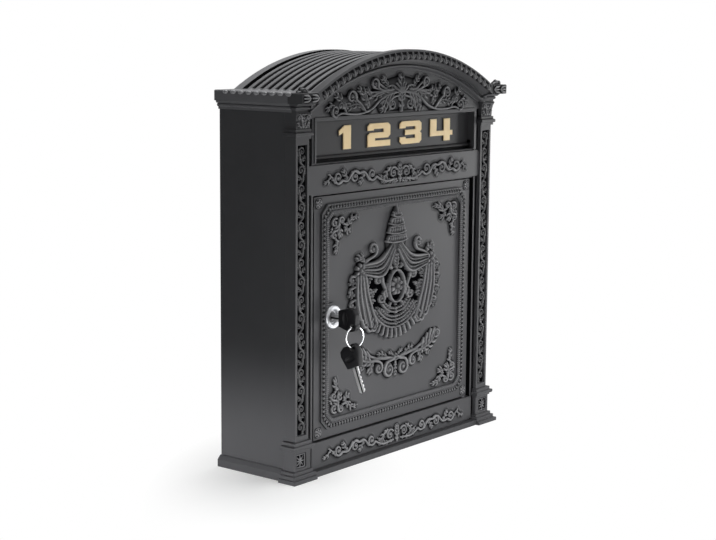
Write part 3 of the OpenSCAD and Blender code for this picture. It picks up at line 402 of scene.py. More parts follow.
def carve_frond(ground, spine, lobes, length, width=2.4, height=2.6, sides=(1, -1), sweep=52):
    """Acanthus leaf: a ribbed spine with curved lobes on its sides, longest in the middle"""
    line = bent(spine, 8)
    carve(ground, line, [width, width * 0.5], [height, height * 0.7], 0.35)
    for k in range(lobes):
        share = (k + 0.6) / (lobes + 0.3)
        i = min(int(share * (len(line) - 1)), len(line) - 2)
        root = line[i]
        ahead = line[i + 1] - line[i]
        heading = math.atan2(ahead[1], ahead[0])
        reach = length * (0.45 + 0.75 * math.sin(math.pi * min(share * 1.05, 1)))
        for side in sides:
            a = heading + side * math.radians(sweep)
            b = heading + side * math.radians(sweep * 0.35)
            mid = root + 0.55 * reach * np.array([math.cos(a), math.sin(a)])
            tip = mid + 0.5 * reach * np.array([math.cos(b), math.sin(b)])
            carve(ground, bent([root, mid, tip], 4), [width * 0.5, width * 0.95, width * 0.6],
                  [height * 0.7, height * 0.95, height * 0.55], 0.2)


def carve_rosette(ground, centre, radius, petals=6, height=2.4):
    """Flower of rounded petals round a bead"""
    for k in range(petals):
        a = 2 * math.pi * (k + 0.5) / petals
        tip = (centre[0] + radius * 0.72 * math.cos(a), centre[1] + radius * 0.72 * math.sin(a))
        carve(ground, [centre, tip], [radius * 0.3, radius * 0.62], [height * 0.5, height * 0.9], 0.2)
    carve_bead(ground, centre, radius * 0.62, height * 1.15)


def mirror_ground(ground):
    """Left half from the right half, on a ground that is symmetric about u = 0"""
    ground["high"] = np.maximum(ground["high"], ground["high"][:, ::-1])


def softened(field, cells):
    """Box blur, twice"""
    for _ in range(2):
        for axis in (0, 1):
            width = 2 * cells + 1
            pads = [(0, 0), (0, 0)]
            pads[axis] = (cells + 1, cells)
            total = np.cumsum(np.pad(field, pads, mode="edge"), axis=axis)
            low = np.take(total, range(0, total.shape[axis] - width), axis=axis)
            field = (np.take(total, range(width, total.shape[axis]), axis=axis) - low) / width
    return field


def cast_piece(name, ground, place, body, flipped=False, skirt=4.6, dark=3.0, keep=None,
               inner=None, coat=carved_paint):
    """Closed mesh of a carving, sunk 0.3 mm into its ground, with its recesses and crests as attributes for
    painted shade and painted highlight. Its ground reaches half of skirt past the carving as a rim of painted
    shade, and dark is how fast that darkens; the shape of the piece is also cut by keep and filled by inner"""
    high = ground["high"]
    pitch = ground["pitch"][0]
    uu, vv = np.meshgrid(ground["u"], ground["v"])
    carved = high > 0.12
    near = softened(carved.astype(float), max(int(round(skirt / 2 / pitch)), 1))
    if inner is not None:
        near = np.maximum(near, inner(uu, vv))
    wide = near > 0.02
    if keep is not None:
        wide &= keep(uu, vv)
    cells = wide[:-1, :-1] & wide[1:, :-1] & wide[:-1, 1:] & wide[1:, 1:]
    # two cells that touch only at a corner would leave an open edge, so the gap between them is filled
    for _ in range(6):
        a, b, c, d = cells[:-1, :-1], cells[:-1, 1:], cells[1:, :-1], cells[1:, 1:]
        cross = (a & d & ~b & ~c) | (b & c & ~a & ~d)
        if not cross.any():
            break
        cells[:-1, :-1] |= cross
        cells[:-1, 1:] |= cross
    used = np.zeros(high.shape, bool)
    for di in (0, 1):
        for dj in (0, 1):
            used[di:di + cells.shape[0], dj:dj + cells.shape[1]] |= cells
    count = int(used.sum())
    index = np.full(high.shape, -1)
    index[used] = np.arange(count)
    mean = softened(high, max(int(round(1.5 / pitch)), 1))
    full = np.percentile(high[carved], 90)
    # painted shade: the low ground in and round the carving and its recesses darken; crests take a painted highlight
    ground_shade = np.clip(near * dark, 0, 1) * np.clip(1 - high / (0.55 * full), 0, 1)
    recess = np.maximum(np.clip((mean - high) / (0.27 * full), 0, 1), ground_shade)
    crest = np.clip((high - mean) / (0.32 * full) - 0.12, 0, 1) * 0.85
    top = np.stack(place(uu[used], vv[used], np.maximum(high[used], 0.04)), axis=1)
    foot = np.stack(place(uu[used], vv[used], np.full(count, -0.3)), axis=1)
    i, j = np.nonzero(cells)
    q = np.stack([index[i, j], index[i, j + 1], index[i + 1, j + 1], index[i + 1, j]], axis=1)
    walls = []
    padded = np.pad(cells, 1)
    for di, dj, p, r in ((-1, 0, 0, 1), (0, 1, 1, 2), (1, 0, 2, 3), (0, -1, 3, 0)):
        edge = ~padded[i + 1 + di, j + 1 + dj]
        walls.append(np.stack([q[edge, p], q[edge, p] + count, q[edge, r] + count, q[edge, r]], axis=1))
    walls = np.vstack(walls)
    faces = np.vstack([q, q[:, ::-1] + count, walls])
    if flipped:
        faces = faces[:, ::-1]
    mesh = bpy.data.meshes.new(name)
    mesh.from_pydata((np.vstack([top, foot]) * MM).tolist(), [], faces.tolist())
    smooth = np.zeros(len(faces), bool)
    smooth[:len(q)] = True
    mesh.polygons.foreach_set("use_smooth", smooth)
    for label, values in (("recess", recess), ("crest", crest)):
        layer = mesh.attributes.new(label, "FLOAT", "POINT")
        layer.data.foreach_set("value", np.concatenate([values[used], values[used]]))
    mesh.materials.append(coat)
    piece = placed(name, mesh)
    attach(piece, body)


def on_front(depth, shift_x=0.0, shift_z=0.0, flip_x=1, flip_z=1):
    """Places a carving on a face that looks along -Y, depth millimetres in front of the wall"""
    return lambda u, v, h: (flip_x * u + shift_x, -(depth + h), flip_z * v + shift_z)


band_y = 103.33
tympanum = carving_ground(-131, 131, 374.5, 423)
carve(tympanum, bent([(0, 404), (16, 402), (34, 397), (50, 391)]), [24, 22, 15], 1.1)
carve(tympanum, bent([(8, 388), (22, 388), (34, 384)]), [17, 12], 1.1)
carve(tympanum, bent([(56, 386), (72, 386), (88, 388), (102, 390), (116, 384)]), [16, 17, 16, 13, 9], 1.1)
for lean in (-62, -38, -14, 14, 38, 62):
    c, s = math.cos(math.radians(lean)), math.sin(math.radians(lean))
    blade = [(0, 397), (7 * s, 397 + 9 * c), (12 * s + 2 * lean / 62, 397 + 15 * c)]
    carve(tympanum, bent(blade), [2.6, 4.2, 1.8], [4.0, 4.4, 3.0], 0.3)
for k, (u, v) in enumerate(((20, 380.5), (26, 381.5), (31.5, 384), (36, 388))):
    carve(tympanum, bent([(6, 399), (u * 0.72, 397 - k * 0.2), (u, v)]), [2.4, 3.4, 2.0], [4.0, 3.8, 2.8], 0.3)
for k, (u, v) in enumerate(((40, 410), (48, 405), (54, 399.5), (58, 393.5))):
    carve(tympanum, bent([(14, 402), (u * 0.66, 402.5 - k), (u, v)]), [2.4, 3.4, 1.8], [3.6, 3.6, 2.6], 0.3)
stem = [(20, 400), (36, 392), (50, 383), (66, 378.6), (84, 378), (100, 379.5), (108, 377.5)]
carve(tympanum, bent(stem), [3.0, 2.4], [3.4, 2.8], 0.3)
for volute in (
    ((15.5, 386.3), 7.4, 100, 1.5, -1, 2.8, 3.8, [(2.5, 402), (5, 396)]),
    ((46, 409), 6.6, 215, 1.4, -1, 2.8, 3.8, [(10, 400), (24, 399), (34, 402)]),
    ((111.5, 382.3), 6.6, 262, 1.4, 1, 2.8, 3.6),
    ((85, 396), 7.6, 200, 1.45, -1, 3.0, 3.8, [(62, 380), (70, 388)]),
    ((103, 387), 4.2, 210, 1.2, -1, 2.2, 3.2, [(94, 380), (97, 385)]),
    ((64, 396), 4.4, 230, 1.2, -1, 2.2, 3.2, [(56, 386), (58, 392)]),
):
    carve_curl(tympanum, *volute)
for leaf in (
    ([(0, 379), (0, 392), (0, 405), (0, 419)], 6, 9.5, 3.0, 4.4),
    ([(9, 399), (20, 400), (27, 394), (30, 384), (36, 380)], 6, 7.5, 2.6, 3.6),
    ([(5, 402), (16, 406.5), (28, 404), (38, 398)], 5, 7.0, 2.4, 3.4, (-1,)),
    ([(30, 399), (42, 396), (54, 397), (60, 404)], 4, 7.0, 2.8, 3.2),
    ([(22, 406), (28, 411), (33, 415)], 3, 5.5, 2.0, 2.8),
    ([(66, 382), (74, 388), (82, 388), (93, 386), (100, 390)], 4, 6.5, 2.6, 3.2),
    ([(58, 384), (62, 392), (66, 400), (74, 405)], 4, 6.5, 2.8, 3.2),
    ([(92, 384), (101, 390), (106, 397), (112, 399)], 3, 6.0, 2.6, 3.0),
    ([(114, 388), (120, 388), (126, 382)], 2, 4.5, 2.2, 2.6),
):
    carve_frond(tympanum, *leaf)
mirror_ground(tympanum)
cast_piece("tympanum_scroll", tympanum, on_front(band_y), "case")

# Friezes: two bands of running scroll, one over the door and one under it. A stem winds from volute to
# volute, each turned the other way, with a leaf in every gap, and two volutes face each other in the middle.


def carve_running_scroll(ground, centres, middle, radius, hand, width, height, lobes=4):
    """Running scroll along u through the given volute centres; the first volute turns by hand. Returns its end"""
    leave = None
    for u in centres:
        centre = (u, middle + hand * radius * 0.06)
        start = 180 + hand * 28
        lead = None
        if leave is not None:
            lead = [leave, ((leave[0] + u - radius) / 2, middle - hand * radius * 0.5)]
        carve_curl(ground, centre, radius, start, 1.45, hand, width, height, lead)
        if leave is not None:
            root = np.array(lead[1])
            tip = np.array((u - radius * 0.95, middle + hand * radius * 1.2))
            side = np.array((u - radius * 1.55, middle + hand * radius * 0.35))
            carve_frond(ground, [root, side, tip], lobes, radius * 0.6, width * 0.9, height * 0.9)
        angle = -hand * math.radians(48)
        leave = (centre[0] + radius * math.cos(angle), centre[1] + radius * math.sin(angle))
        hand = -hand
    return leave


upper_frieze = carving_ground(-131, 131, 300, 325)
carve(upper_frieze, bent([(12, 304.8), (24, 303.8), (34, 306.5), (41, 310)]), [2.6, 2.3], [2.8, 2.6], 0.25)
carve_curl(upper_frieze, (11.5, 312.2), 6.6, 150, 1.45, -1, 2.3, 2.8)
for leaf in (
    ([(17, 318.5), (24, 313), (27, 306), (33, 303.5)], 5, 4.6, 2.2, 2.6),
    ([(6, 305), (18, 303.6), (28, 306), (37, 312)], 5, 4.0, 2.0, 2.4),
):
    carve_frond(upper_frieze, *leaf)
leave = carve_running_scroll(upper_frieze, (49, 78, 106), 312.4, 7.3, 1, 2.5, 3.0, 3)
carve_frond(upper_frieze, [leave, (118, 315), (123, 309.5), (128.5, 308.5)], 4, 3.6, 1.9, 2.3)
carve_frond(upper_frieze, [(0, 302), (0, 309), (0, 315), (0, 322)], 5, 5.0, 2.2, 2.9)
carve_frond(upper_frieze, [(4, 303), (9, 302), (15, 302)], 3, 2.6, 1.6, 2.2)
mirror_ground(upper_frieze)
cast_piece("upper_frieze_scroll", upper_frieze, on_front(band_y), "case")

lower_frieze = carving_ground(-131, 131, 8.8, 31)
carve(lower_frieze, bent([(13, 12.2), (24, 11.4), (33, 14), (39, 17)]), [2.5, 2.2], [2.7, 2.5], 0.25)
carve_curl(lower_frieze, (12.5, 19.6), 6.2, 150, 1.45, -1, 2.3, 2.6)
for leaf in (
    ([(17, 26), (25, 21), (28, 15), (33, 12)], 5, 4.4, 2.1, 2.4),
    ([(7, 12.6), (18, 11.4), (27, 14), (35, 20)], 5, 3.8, 1.9, 2.3),
):
    carve_frond(lower_frieze, *leaf)
leave = carve_running_scroll(lower_frieze, (46, 74, 103), 19.4, 6.6, 1, 2.5, 2.9, 3)
carve_frond(lower_frieze, [leave, (116, 22.5), (122, 17), (129, 16)], 4, 3.4, 1.9, 2.2)
carve_frond(lower_frieze, [(0, 10), (0, 17), (0, 23), (0, 29)], 5, 4.8, 2.2, 2.8)
mirror_ground(lower_frieze)
cast_piece("lower_frieze_scroll", lower_frieze, on_front(band_y), "case")

# Pilasters: in each sunk panel an openwork vine climbs in half waves of 19 mm, its leaves level with the
# frame of the panel. Over it sits a small leaf capital, and each foot has an eight-pointed star in a square.
vine_floor_y = 102.8
pilaster_mid_x = 164.15
half_wave, first_wave_z, waves = 19.1, 57, 16
vine = carving_ground(48.6, 349.4, -7.1, 7.1, 0.5)
carve_running_scroll(vine, [first_wave_z + half_wave * k for k in range(waves)], 0.0, 5.4, 1, 1.9, 2.1, 3)
for k in range(waves):
    way = 1 if k % 2 else -1
    u = first_wave_z + half_wave * k
    carve_frond(vine, [(u - 9, way * 1.0), (u - 3, way * 5.4), (u + 5, way * 6.3)], 3, 2.6, 1.6, 1.9)
# the vines wear a far darker copy of the paint, with a wide dark rim round them: painted shade in the sunk panels
shaded_vine_paint = paint("shaded_vine_paint", (0.009, 0.009, 0.010), (0.014, 0.014, 0.015), carved=0.085)
for name, way in (("left_vine", -1), ("right_vine", 1)):
    cast_piece(name, vine, lambda u, v, h: (way * (v + pilaster_mid_x), -(vine_floor_y + h), u), "case",
               flipped=way > 0, skirt=12, dark=9, coat=shaded_vine_paint)

capital = carving_ground(-10.2, 10.2, 366.6, 382.4, 0.4)
carve_curl(capital, (6.6, 377.6), 3.1, 200, 1.3, -1, 1.5, 2.4, [(1.2, 368), (2.4, 374)])
for leaf in (
    ([(0, 367.5), (0, 373), (0, 379)], 4, 3.2, 1.6, 2.2),
    ([(3, 367.5), (6.5, 370), (8.8, 374)], 3, 2.4, 1.4, 1.9),
):
    carve_frond(capital, *leaf)
for k in range(5):
    carve_bead(capital, (k * 2.4, 381.2), 2.0, 1.5)
mirror_ground(capital)
star = carving_ground(-8.3, 8.3, 14.4, 29.1, 0.35)
star_z, star_r, heart_r = 21.75, 6.6, 2.6
for k in range(8):
    c, s = math.cos(math.radians(45 * k)), math.sin(math.radians(45 * k))
    tip = (star_r * c * (1.05 if k % 2 else 1.0), star_z + star_r * s)
    carve(star, [(0, star_z), (heart_r * c, star_z + heart_r * s), tip], [0.6, 1.6, 0.5], [1.2, 2.2, 0.9], 0.2)
carve_bead(star, (0, star_z), 2.2, 1.9)
frame_corners = [(-7.6, 15.1), (7.6, 15.1), (7.6, 28.4), (-7.6, 28.4)]
for k in range(4):
    carve(star, [frame_corners[k], frame_corners[(k + 1) % 4]], 0.9, 1.0)
capital_mid_x, base_mid_x = 164.4, 167.1
flare_z, flare_y = (366, 374, 379, 381.5), (105.35, 105.75, 106.7, 107.9)
for side, way in (("left", -1), ("right", 1)):
    cast_piece(side + "_capital_leaves", capital,
               lambda u, v, h: (way * capital_mid_x + u, -(np.interp(v, flare_z, flare_y) + h), v),
               "case", skirt=6, dark=6)
    cast_piece(side + "_base_star", star, on_front(104.33, way * base_mid_x), "case", skirt=6, dark=4)

# Archivolt: a band of small leaves round the face of the arch, cast with it, and round rib ends like
# scallops along each eaves. Each unit is modelled once and set again and again along its line.


def solid_of(name, shape):
    """Object of a finished bmesh, which is then freed"""
    mesh = bpy.data.meshes.new(name)
    shape.to_mesh(mesh)
    shape.free()
    return placed(name, mesh)


def leaf_unit(name, blades):
    """Small cast leaf on the plane Y = 0 that grows along +Z; blades: (lean, length, width, height, root)"""
    shape = bmesh.new()
    stations = ((0.0, 0.5, 0.55), (0.25, 0.85, 0.85), (0.55, 1.0, 1.0), (0.82, 0.7, 0.9), (1.0, 0.12, 0.3))
    for lean, length, width, height, root in blades:
        c, s = math.cos(math.radians(lean)), math.sin(math.radians(lean))
        rows = []
        for t, wide, lift in stations:
            row = []
            for side, rise in ((-1, 0.0), (-0.6, 0.85), (0, 0.5), (0.6, 0.85), (1, 0.0)):
                x, z = side * wide * width / 2, t * length
                y = 0.25 - (0.25 + rise * lift * height) * (rise > 0)
                spot = (MM * (root[0] + x * c + z * s), MM * y, MM * (root[1] + z * c - x * s))
                row.append(shape.verts.new(spot))
            rows.append(row)
        for low, high in zip(rows, rows[1:]):
            for k in range(4):
                shape.faces.new((low[k], low[k + 1], high[k + 1], high[k])).smooth = True
            shape.faces.new((low[4], low[0], high[0], high[4]))
        shape.faces.new(rows[0][::-1])
        shape.faces.new(rows[-1])
    bmesh.ops.recalc_face_normals(shape, faces=shape.faces)
    return solid_of(name, shape)


def dome_unit(name, across, deep):
    """Small round bead, across in millimetres along X, Y and Z; deep is how far it is sunk along +Y"""
    shape = bmesh.new()
    bmesh.ops.create_uvsphere(shape, u_segments=10, v_segments=6, radius=0.5 * MM)
    for vert in shape.verts:
        vert.co = Vector((vert.co.x * across[0], vert.co.y * across[1] + deep * MM, vert.co.z * across[2]))
    for bead_face in shape.faces:
        bead_face.smooth = True
    return solid_of(name, shape)


def recess_band(name, inner, outer, y, closed, body):
    """Painted shade under a leaf row: a dark closed strip 0.3 mm thick between two lines of the same number of
    points
    """
    count = len(inner)
    ends = [(x, y + dy, z) for dy in (0.25, -0.05) for line in (inner, outer) for x, z in line]
    faces = []
    for k in range(count if closed else count - 1):
        n = (k + 1) % count
        a, b, c, d = k, n, count + n, count + k
        faces += [(a, b, c, d)[::-1], tuple(i + 2 * count for i in (a, b, c, d)),
                  (a, b, b + 2 * count, a + 2 * count), (c, d, d + 2 * count, c + 2 * count)]
    if not closed:
        faces += [(0, count, 3 * count, 2 * count)[::-1], (count - 1, 2 * count - 1, 4 * count - 1, 3 * count - 1)]
    shape = bmesh.new()
    verts = [shape.verts.new((x * MM, y * MM, z * MM)) for x, y, z in ends]
    for face in faces:
        shape.faces.new([verts[i] for i in face])
    bmesh.ops.recalc_face_normals(shape, faces=shape.faces)
    strip = solid_of(name, shape)
    # a recess of 0.9 paints the whole strip near black, as shade
    layer = strip.data.attributes.new("recess", "FLOAT", "POINT")
    layer.data.foreach_set("value", [0.9] * len(strip.data.vertices))
    strip.data.materials.append(carved_paint)
    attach(strip, body)


# Geometry Nodes: sets a unit on every point of a mesh, turned about Y by the point's own angle
unit_row_tree, given = named_group("unit_row", "GeometryNodeTree",
                                   {"Places": "Geometry", "Unit": "Object", "Finish": "Material"},
                                   {"Row": "Geometry"})
shape = add_node(unit_row_tree, "GeometryNodeObjectInfo", {"Object": given["Unit"]})
angle = add_node(unit_row_tree, "GeometryNodeInputNamedAttribute", {"Name": "turn"}, data_type="FLOAT")
axis = add_node(unit_row_tree, "ShaderNodeCombineXYZ", {"Y": angle.outputs[0]})
turned = add_node(unit_row_tree, "FunctionNodeEulerToRotation", {0: axis.outputs[0]})
spread = add_node(unit_row_tree, "GeometryNodeInstanceOnPoints", {
    "Points": given["Places"], "Instance": shape.outputs["Geometry"], "Rotation": turned.outputs[0]})
plain = add_node(unit_row_tree, "GeometryNodeRealizeInstances", {"Geometry": spread.outputs["Instances"]})
coat = add_node(unit_row_tree, "GeometryNodeSetMaterial",
                {"Geometry": plain.outputs["Geometry"], "Material": given["Finish"]})
add_node(unit_row_tree, "NodeGroupOutput", {"Row": coat.outputs["Geometry"]})


def finished_mesh(piece):
    """Plain mesh of a piece with its modifiers applied"""
    bpy.context.view_layer.update()
    return bpy.data.meshes.new_from_object(piece.evaluated_get(bpy.context.evaluated_depsgraph_get()))


def unit_row(name, unit, places, finish, body):
    """Row of one unit as a plain mesh. places: (x, y, z in millimetres, turn about Y in radians)"""
    mesh = bpy.data.meshes.new(name)
    mesh.from_pydata([(x * MM, y * MM, z * MM) for x, y, z, turn in places], [], [])
    layer = mesh.attributes.new("turn", "FLOAT", "POINT")
    layer.data.foreach_set("value", [place[3] for place in places])
    row = placed(name, mesh)
    step = row.modifiers.new("row", "NODES")
    step.node_group = unit_row_tree
    for label, value in (("Unit", unit), ("Finish", finish)):
        step[unit_row_tree.interface.items_tree[label].identifier] = value
    solid = finished_mesh(row)
    row.modifiers.remove(step)
    row.data = solid
    bpy.data.objects.remove(unit)
    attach(row, body)


arch_centre_z, leaf_root_r, archivolt_y = 132.4, 302.0, -120.0
arch_angles = [math.radians(1.9 * k) for k in range(-15, 16)]
arch_leaf = leaf_unit("arch_leaf", [(0, 8.3, 4.6, 1.5, (0, 0)), (-34, 6.2, 3.4, 1.2, (-1.2, 0.2)),
                                    (34, 6.2, 3.4, 1.2, (1.2, 0.2)), (0, 3.0, 6.5, 1.0, (0, -0.4))])
inner_line, outer_line = ([(r * math.sin(a), arch_centre_z + r * math.cos(a))
                           for a in np.radians(np.linspace(-29.3, 29.3, 95))] for r in (301.6, 310.2))
# the ground under the leaves is a strip of painted shade
recess_band("archivolt_ground", inner_line, outer_line, archivolt_y, False, "case")
unit_row("archivolt_leaves", arch_leaf,
         [(leaf_root_r * math.sin(a), archivolt_y + 0.1, arch_centre_z + leaf_root_r * math.cos(a), a)
          for a in arch_angles], carved_paint, "case")
eaves_x, eaves_z = 184.2, 401.5
# the rib ends wear a far lighter copy of the paint: painted highlight
scallop_highlight_paint = paint("lit_scallop_paint", (0.28, 0.28, 0.288), (0.36, 0.36, 0.37), 0.34)
for side, way in (("left", -1), ("right", 1)):
    scallop = dome_unit(side + "_scallop", (4.4, 7.0, 4.2), 0)
    unit_row(side + "_eaves_scallops", scallop,
             [(way * eaves_x, -(rib_start + rib_pitch * (k + 0.5)), eaves_z, 0.0) for k in range(9)],
             scallop_highlight_paint, "case")
cornice_leaf = carving_ground(-13.2, 13.2, 392.6, 402.6, 0.4)
for k in (-1, 1):
    root = k * 6.4 - 5.6
    for v in (394.2, 397.6, 401.0):
        blade = [(root, 397.6), (root + 3.5, (v + 397.6) / 2 + (v - 397.6) * 0.25), (root + 9.6, v)]
        carve(cornice_leaf, bent(blade), [1.4, 2.6, 1.6], [1.2, 1.8, 1.1], 0.25)
top_curl = carving_ground(-7.6, 7.6, 402.4, 408.6, 0.35)
carve_bead(top_curl, (0.5, 404.5), 7.2, 6.0)
carve(top_curl, curl((0.5, 404.6), 3.3, 190, 1.2, -1), [2.0, 1.2], [6.4, 6.0], 0.2)
carve(top_curl, bent([(-7.2, 403.6), (-4.6, 404.8), (-2.0, 403.6)]), [1.6, 2.6], [4.0, 5.4], 0.2)
carve(top_curl, bent([(7.2, 403.2), (5.2, 404.2), (3.2, 403.2)]), [1.6, 2.6], [3.6, 5.2], 0.2)
for side, way in (("left", -1), ("right", 1)):
    cast_piece(side + "_cornice_leaves", cornice_leaf, on_front(120.53, way * 169.2, 0, way), "case",
               flipped=way < 0)
    cast_piece(side + "_cornice_curl", top_curl, on_front(110.5, way * 173.0, 0, way), "case",
               flipped=way < 0, skirt=0.8, dark=0)

# Slot flap: a plate with a finger lip that swings in under the arch. Its four applied numerals are cast
# plates painted pale gold, each on a slightly larger dark plate of the same outline.
# the flap wears a darker copy of the case paint: painted shade under the arch
shaded_flap_paint = paint("shaded_flap_paint", (0.024, 0.024, 0.0255), (0.031, 0.031, 0.033))
finish_nodes(shaded_flap_paint, "mail_flap")


def number_plate(name, outline, place, scale, y0, y1, material, grow, soften):
    """Closed plate of a flat outline between two depths, grown all round, with softened front edges"""
    shape = bmesh.new()
    ring = []
    for k, point in enumerate(outline):
        before = np.array(outline[k - 1], float)
        after = np.array(outline[(k + 1) % len(outline)], float)
        point = np.array(point, float)
        a = (point - before) / max(np.hypot(*(point - before)), 1e-9)
        b = (after - point) / max(np.hypot(*(after - point)), 1e-9)
        normal_a, normal_b = np.array((a[1], -a[0])), np.array((b[1], -b[0]))
        shift = (normal_a + normal_b) / max(1 + normal_a @ normal_b, 0.35)
        ring.append(point + shift * grow)
    back_ring, front_ring = ([shape.verts.new((MM * (place[0] + p[0] * scale[0]), -y * MM,
                                               MM * (place[1] + p[1] * scale[1]))) for p in ring]
                             for y in (y0, y1))
    cap = shape.faces.new(front_ring)
    shape.faces.new(back_ring[::-1])
    for k in range(len(ring)):
        n = (k + 1) % len(ring)
        shape.faces.new((back_ring[k], back_ring[n], front_ring[n], front_ring[k]))
    bmesh.ops.recalc_face_normals(shape, faces=shape.faces)
    bmesh.ops.bevel(shape, geom=list(cap.edges), offset=soften * MM, segments=2, affect="EDGES")
    plate = solid_of(name, shape)
    plate.data.materials.append(material)
    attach(plate, "flap")


def enamel(name, dark, light, rough):
    """Brushed-on enamel: a little uneven in tone, with a fine orange-peel surface"""
    material, tree, shader, grain = finish(name, 700, 90)
    wire(shader, {"Roughness": rough, "Base Color": mixed(tree, grain["Cloud"], (*dark, 1), (*light, 1)),
                  "Normal": fine_relief(tree, grain["Height"], 0.25, 0.08)})
    return material


pale_gold = enamel("pale_gold_enamel", (0.80, 0.58, 0.28), (0.94, 0.74, 0.42), 0.45)
dark_edge = enamel("dark_edge_enamel", (0.012, 0.010, 0.008), (0.025, 0.02, 0.016), 0.5)
number_foot_z, squat, edge_radius = 341.0, (1, 0.85), 0.25
number_outlines = {
    "one": [(15, 0), (28, 0), (28, 29.5), (17, 29.5), (8, 23.5), (8, 17.5), (15, 20.5)],
    "two": [(0, 0), (40, 0), (40, 7.5), (13, 7.5), (13, 10.5), (36, 10.5), (40, 14), (40, 26), (36, 29.5),
            (4, 29.5), (0, 26), (0, 20.5), (11, 20.5), (11, 22.3), (28, 22.3), (28, 17.7), (4, 17.7), (0, 14.5)],
    "three": [(4, 0), (36, 0), (40, 3.5), (40, 12.5), (37.5, 14.8), (40, 17), (40, 26), (36, 29.5), (4, 29.5),
              (0, 26), (0, 20.5), (11, 20.5), (11, 22.5), (28.5, 22.5), (28.5, 18.2), (10, 18.2), (10, 11.6),
              (28.5, 11.6), (28.5, 7), (11, 7), (11, 9), (0, 9), (0, 3.5)],
    "four": [(26, 0), (38, 0), (38, 7), (43, 7), (43, 13.5), (38, 13.5), (38, 29.5), (26, 29.5), (26, 13.5),
             (12, 13.5), (12, 29.5), (0, 29.5), (0, 7), (26, 7)],
}
for word, left in (("one", -103.2), ("two", -47.0), ("three", 9.8), ("four", 66.5)):
    for name, y0, y1, material, grow in ((f"number_{word}_backing", 94.8, 95.6, dark_edge, 1.1),
                                         (f"number_{word}", 95.5, 96.3, pale_gold, 0.0)):
        number_plate(name, number_outlines[word], (left, number_foot_z), squat, y0, y1, material, grow, edge_radius)

# Door: one cast leaf that swings on two pins. A flat moulding with cut corners carries a row of leaf
# teeth and a beaded inner edge, and a small round flower fills each corner outside it.


def cut_rectangle(half, z0, z1, cut):
    """Corners of a rectangle with cut corners, anticlockwise seen from the front"""
    return np.array([(-half + cut, z0), (half - cut, z0), (half, z0 + cut), (half, z1 - cut),
                     (half - cut, z1), (-half + cut, z1), (-half, z1 - cut), (-half, z0 + cut)], float)


def along_loop(corners, pitch, y):
    """Evenly spaced places on a closed line, each with the turn that points its unit outward"""
    places = []
    for k in range(len(corners)):
        a, b = corners[k], corners[(k + 1) % len(corners)]
        run = b - a
        length = np.hypot(*run)
        count = max(int(round(length / pitch)), 1)
        turn = math.atan2(run[1], -run[0])
        for i in range(count):
            spot = a + run * (i + 0.5) / count
            places.append((spot[0], y, spot[1], turn))
    return places


door_y, moulding_y = 100.0, 102.4
relief_y = door_y + 0.03
field_half, field_low_z, field_high_z, field_cut = 120.9, 54.2, 277.3, 8.2
# the groove inside the moulding and the ground of the teeth are dark strips of painted shade
for name, near_half, wide in (("inner_groove", 122.5, 0.7), ("tooth_ground", 124.5, 3.1)):
    inner_line, outer_line = (cut_rectangle(field_half + out, field_low_z - out, field_high_z + out,
                                            field_cut + 0.4 * out).tolist()
                              for out in (near_half - field_half, near_half + wide - field_half))
    recess_band(name, inner_line, outer_line, -moulding_y, True, "door_leaf")
# the teeth and the beaded ridge wear lighter copies of the paint, as painted highlight, and the notches between the
# teeth are near black, as painted shade
tooth_highlight_paint = paint("tooth_highlight_paint", (0.12, 0.12, 0.124), (0.17, 0.17, 0.175), 0.34)
ridge_highlight_paint = paint("ridge_highlight", (0.10, 0.10, 0.105), (0.14, 0.14, 0.145), 0.38)
notch_shade_coat = paint("notch_shade_paint", (0.003, 0.003, 0.003), (0.006, 0.006, 0.006), 0.6)
for name, unit, across, deep, corners, pitch, proud, coat in (
        ("door_leaf_teeth", "moulding_bump", (2.5, 2.8, 3.0), 0.1, (126.0, 49.1, 282.4, 10.2), 4.7, 0, tooth_highlight_paint),
        ("door_notches", "moulding_notch", (2.7, 0.9, 2.5), 0.25, (128.1, 47.0, 284.5, 11.0), 4.7, 0, notch_shade_coat),
        ("door_ridge", "moulding_ridge", (1.7, 2.0, 5.2), 0, (120.7, 54.4, 277.1, 8.2), 2.3, 0.05, ridge_highlight_paint)):
    unit_row(name, dome_unit(unit, across, deep), along_loop(cut_rectangle(*corners), pitch, -moulding_y - proud),
             coat, "door_leaf")

roundel = carving_ground(-5.6, 5.6, -5.6, 5.6, 0.35)
carve_rosette(roundel, (0, 0), 4.2, 6, 1.8)
around = [(4.9 * math.cos(math.radians(12 * k)), 4.9 * math.sin(math.radians(12 * k))) for k in range(31)]
carve(roundel, around, 0.8, 0.9)
door_corners = (("upper_left", -1, 1), ("upper_right", 1, 1), ("lower_right", 1, -1), ("lower_left", -1, -1))
for name, way_x, way_z in door_corners:
    cast_piece(name + "_roundel", roundel, on_front(relief_y, way_x * 132.5, 287.4 if way_z > 0 else 44.2),
               "door_leaf")

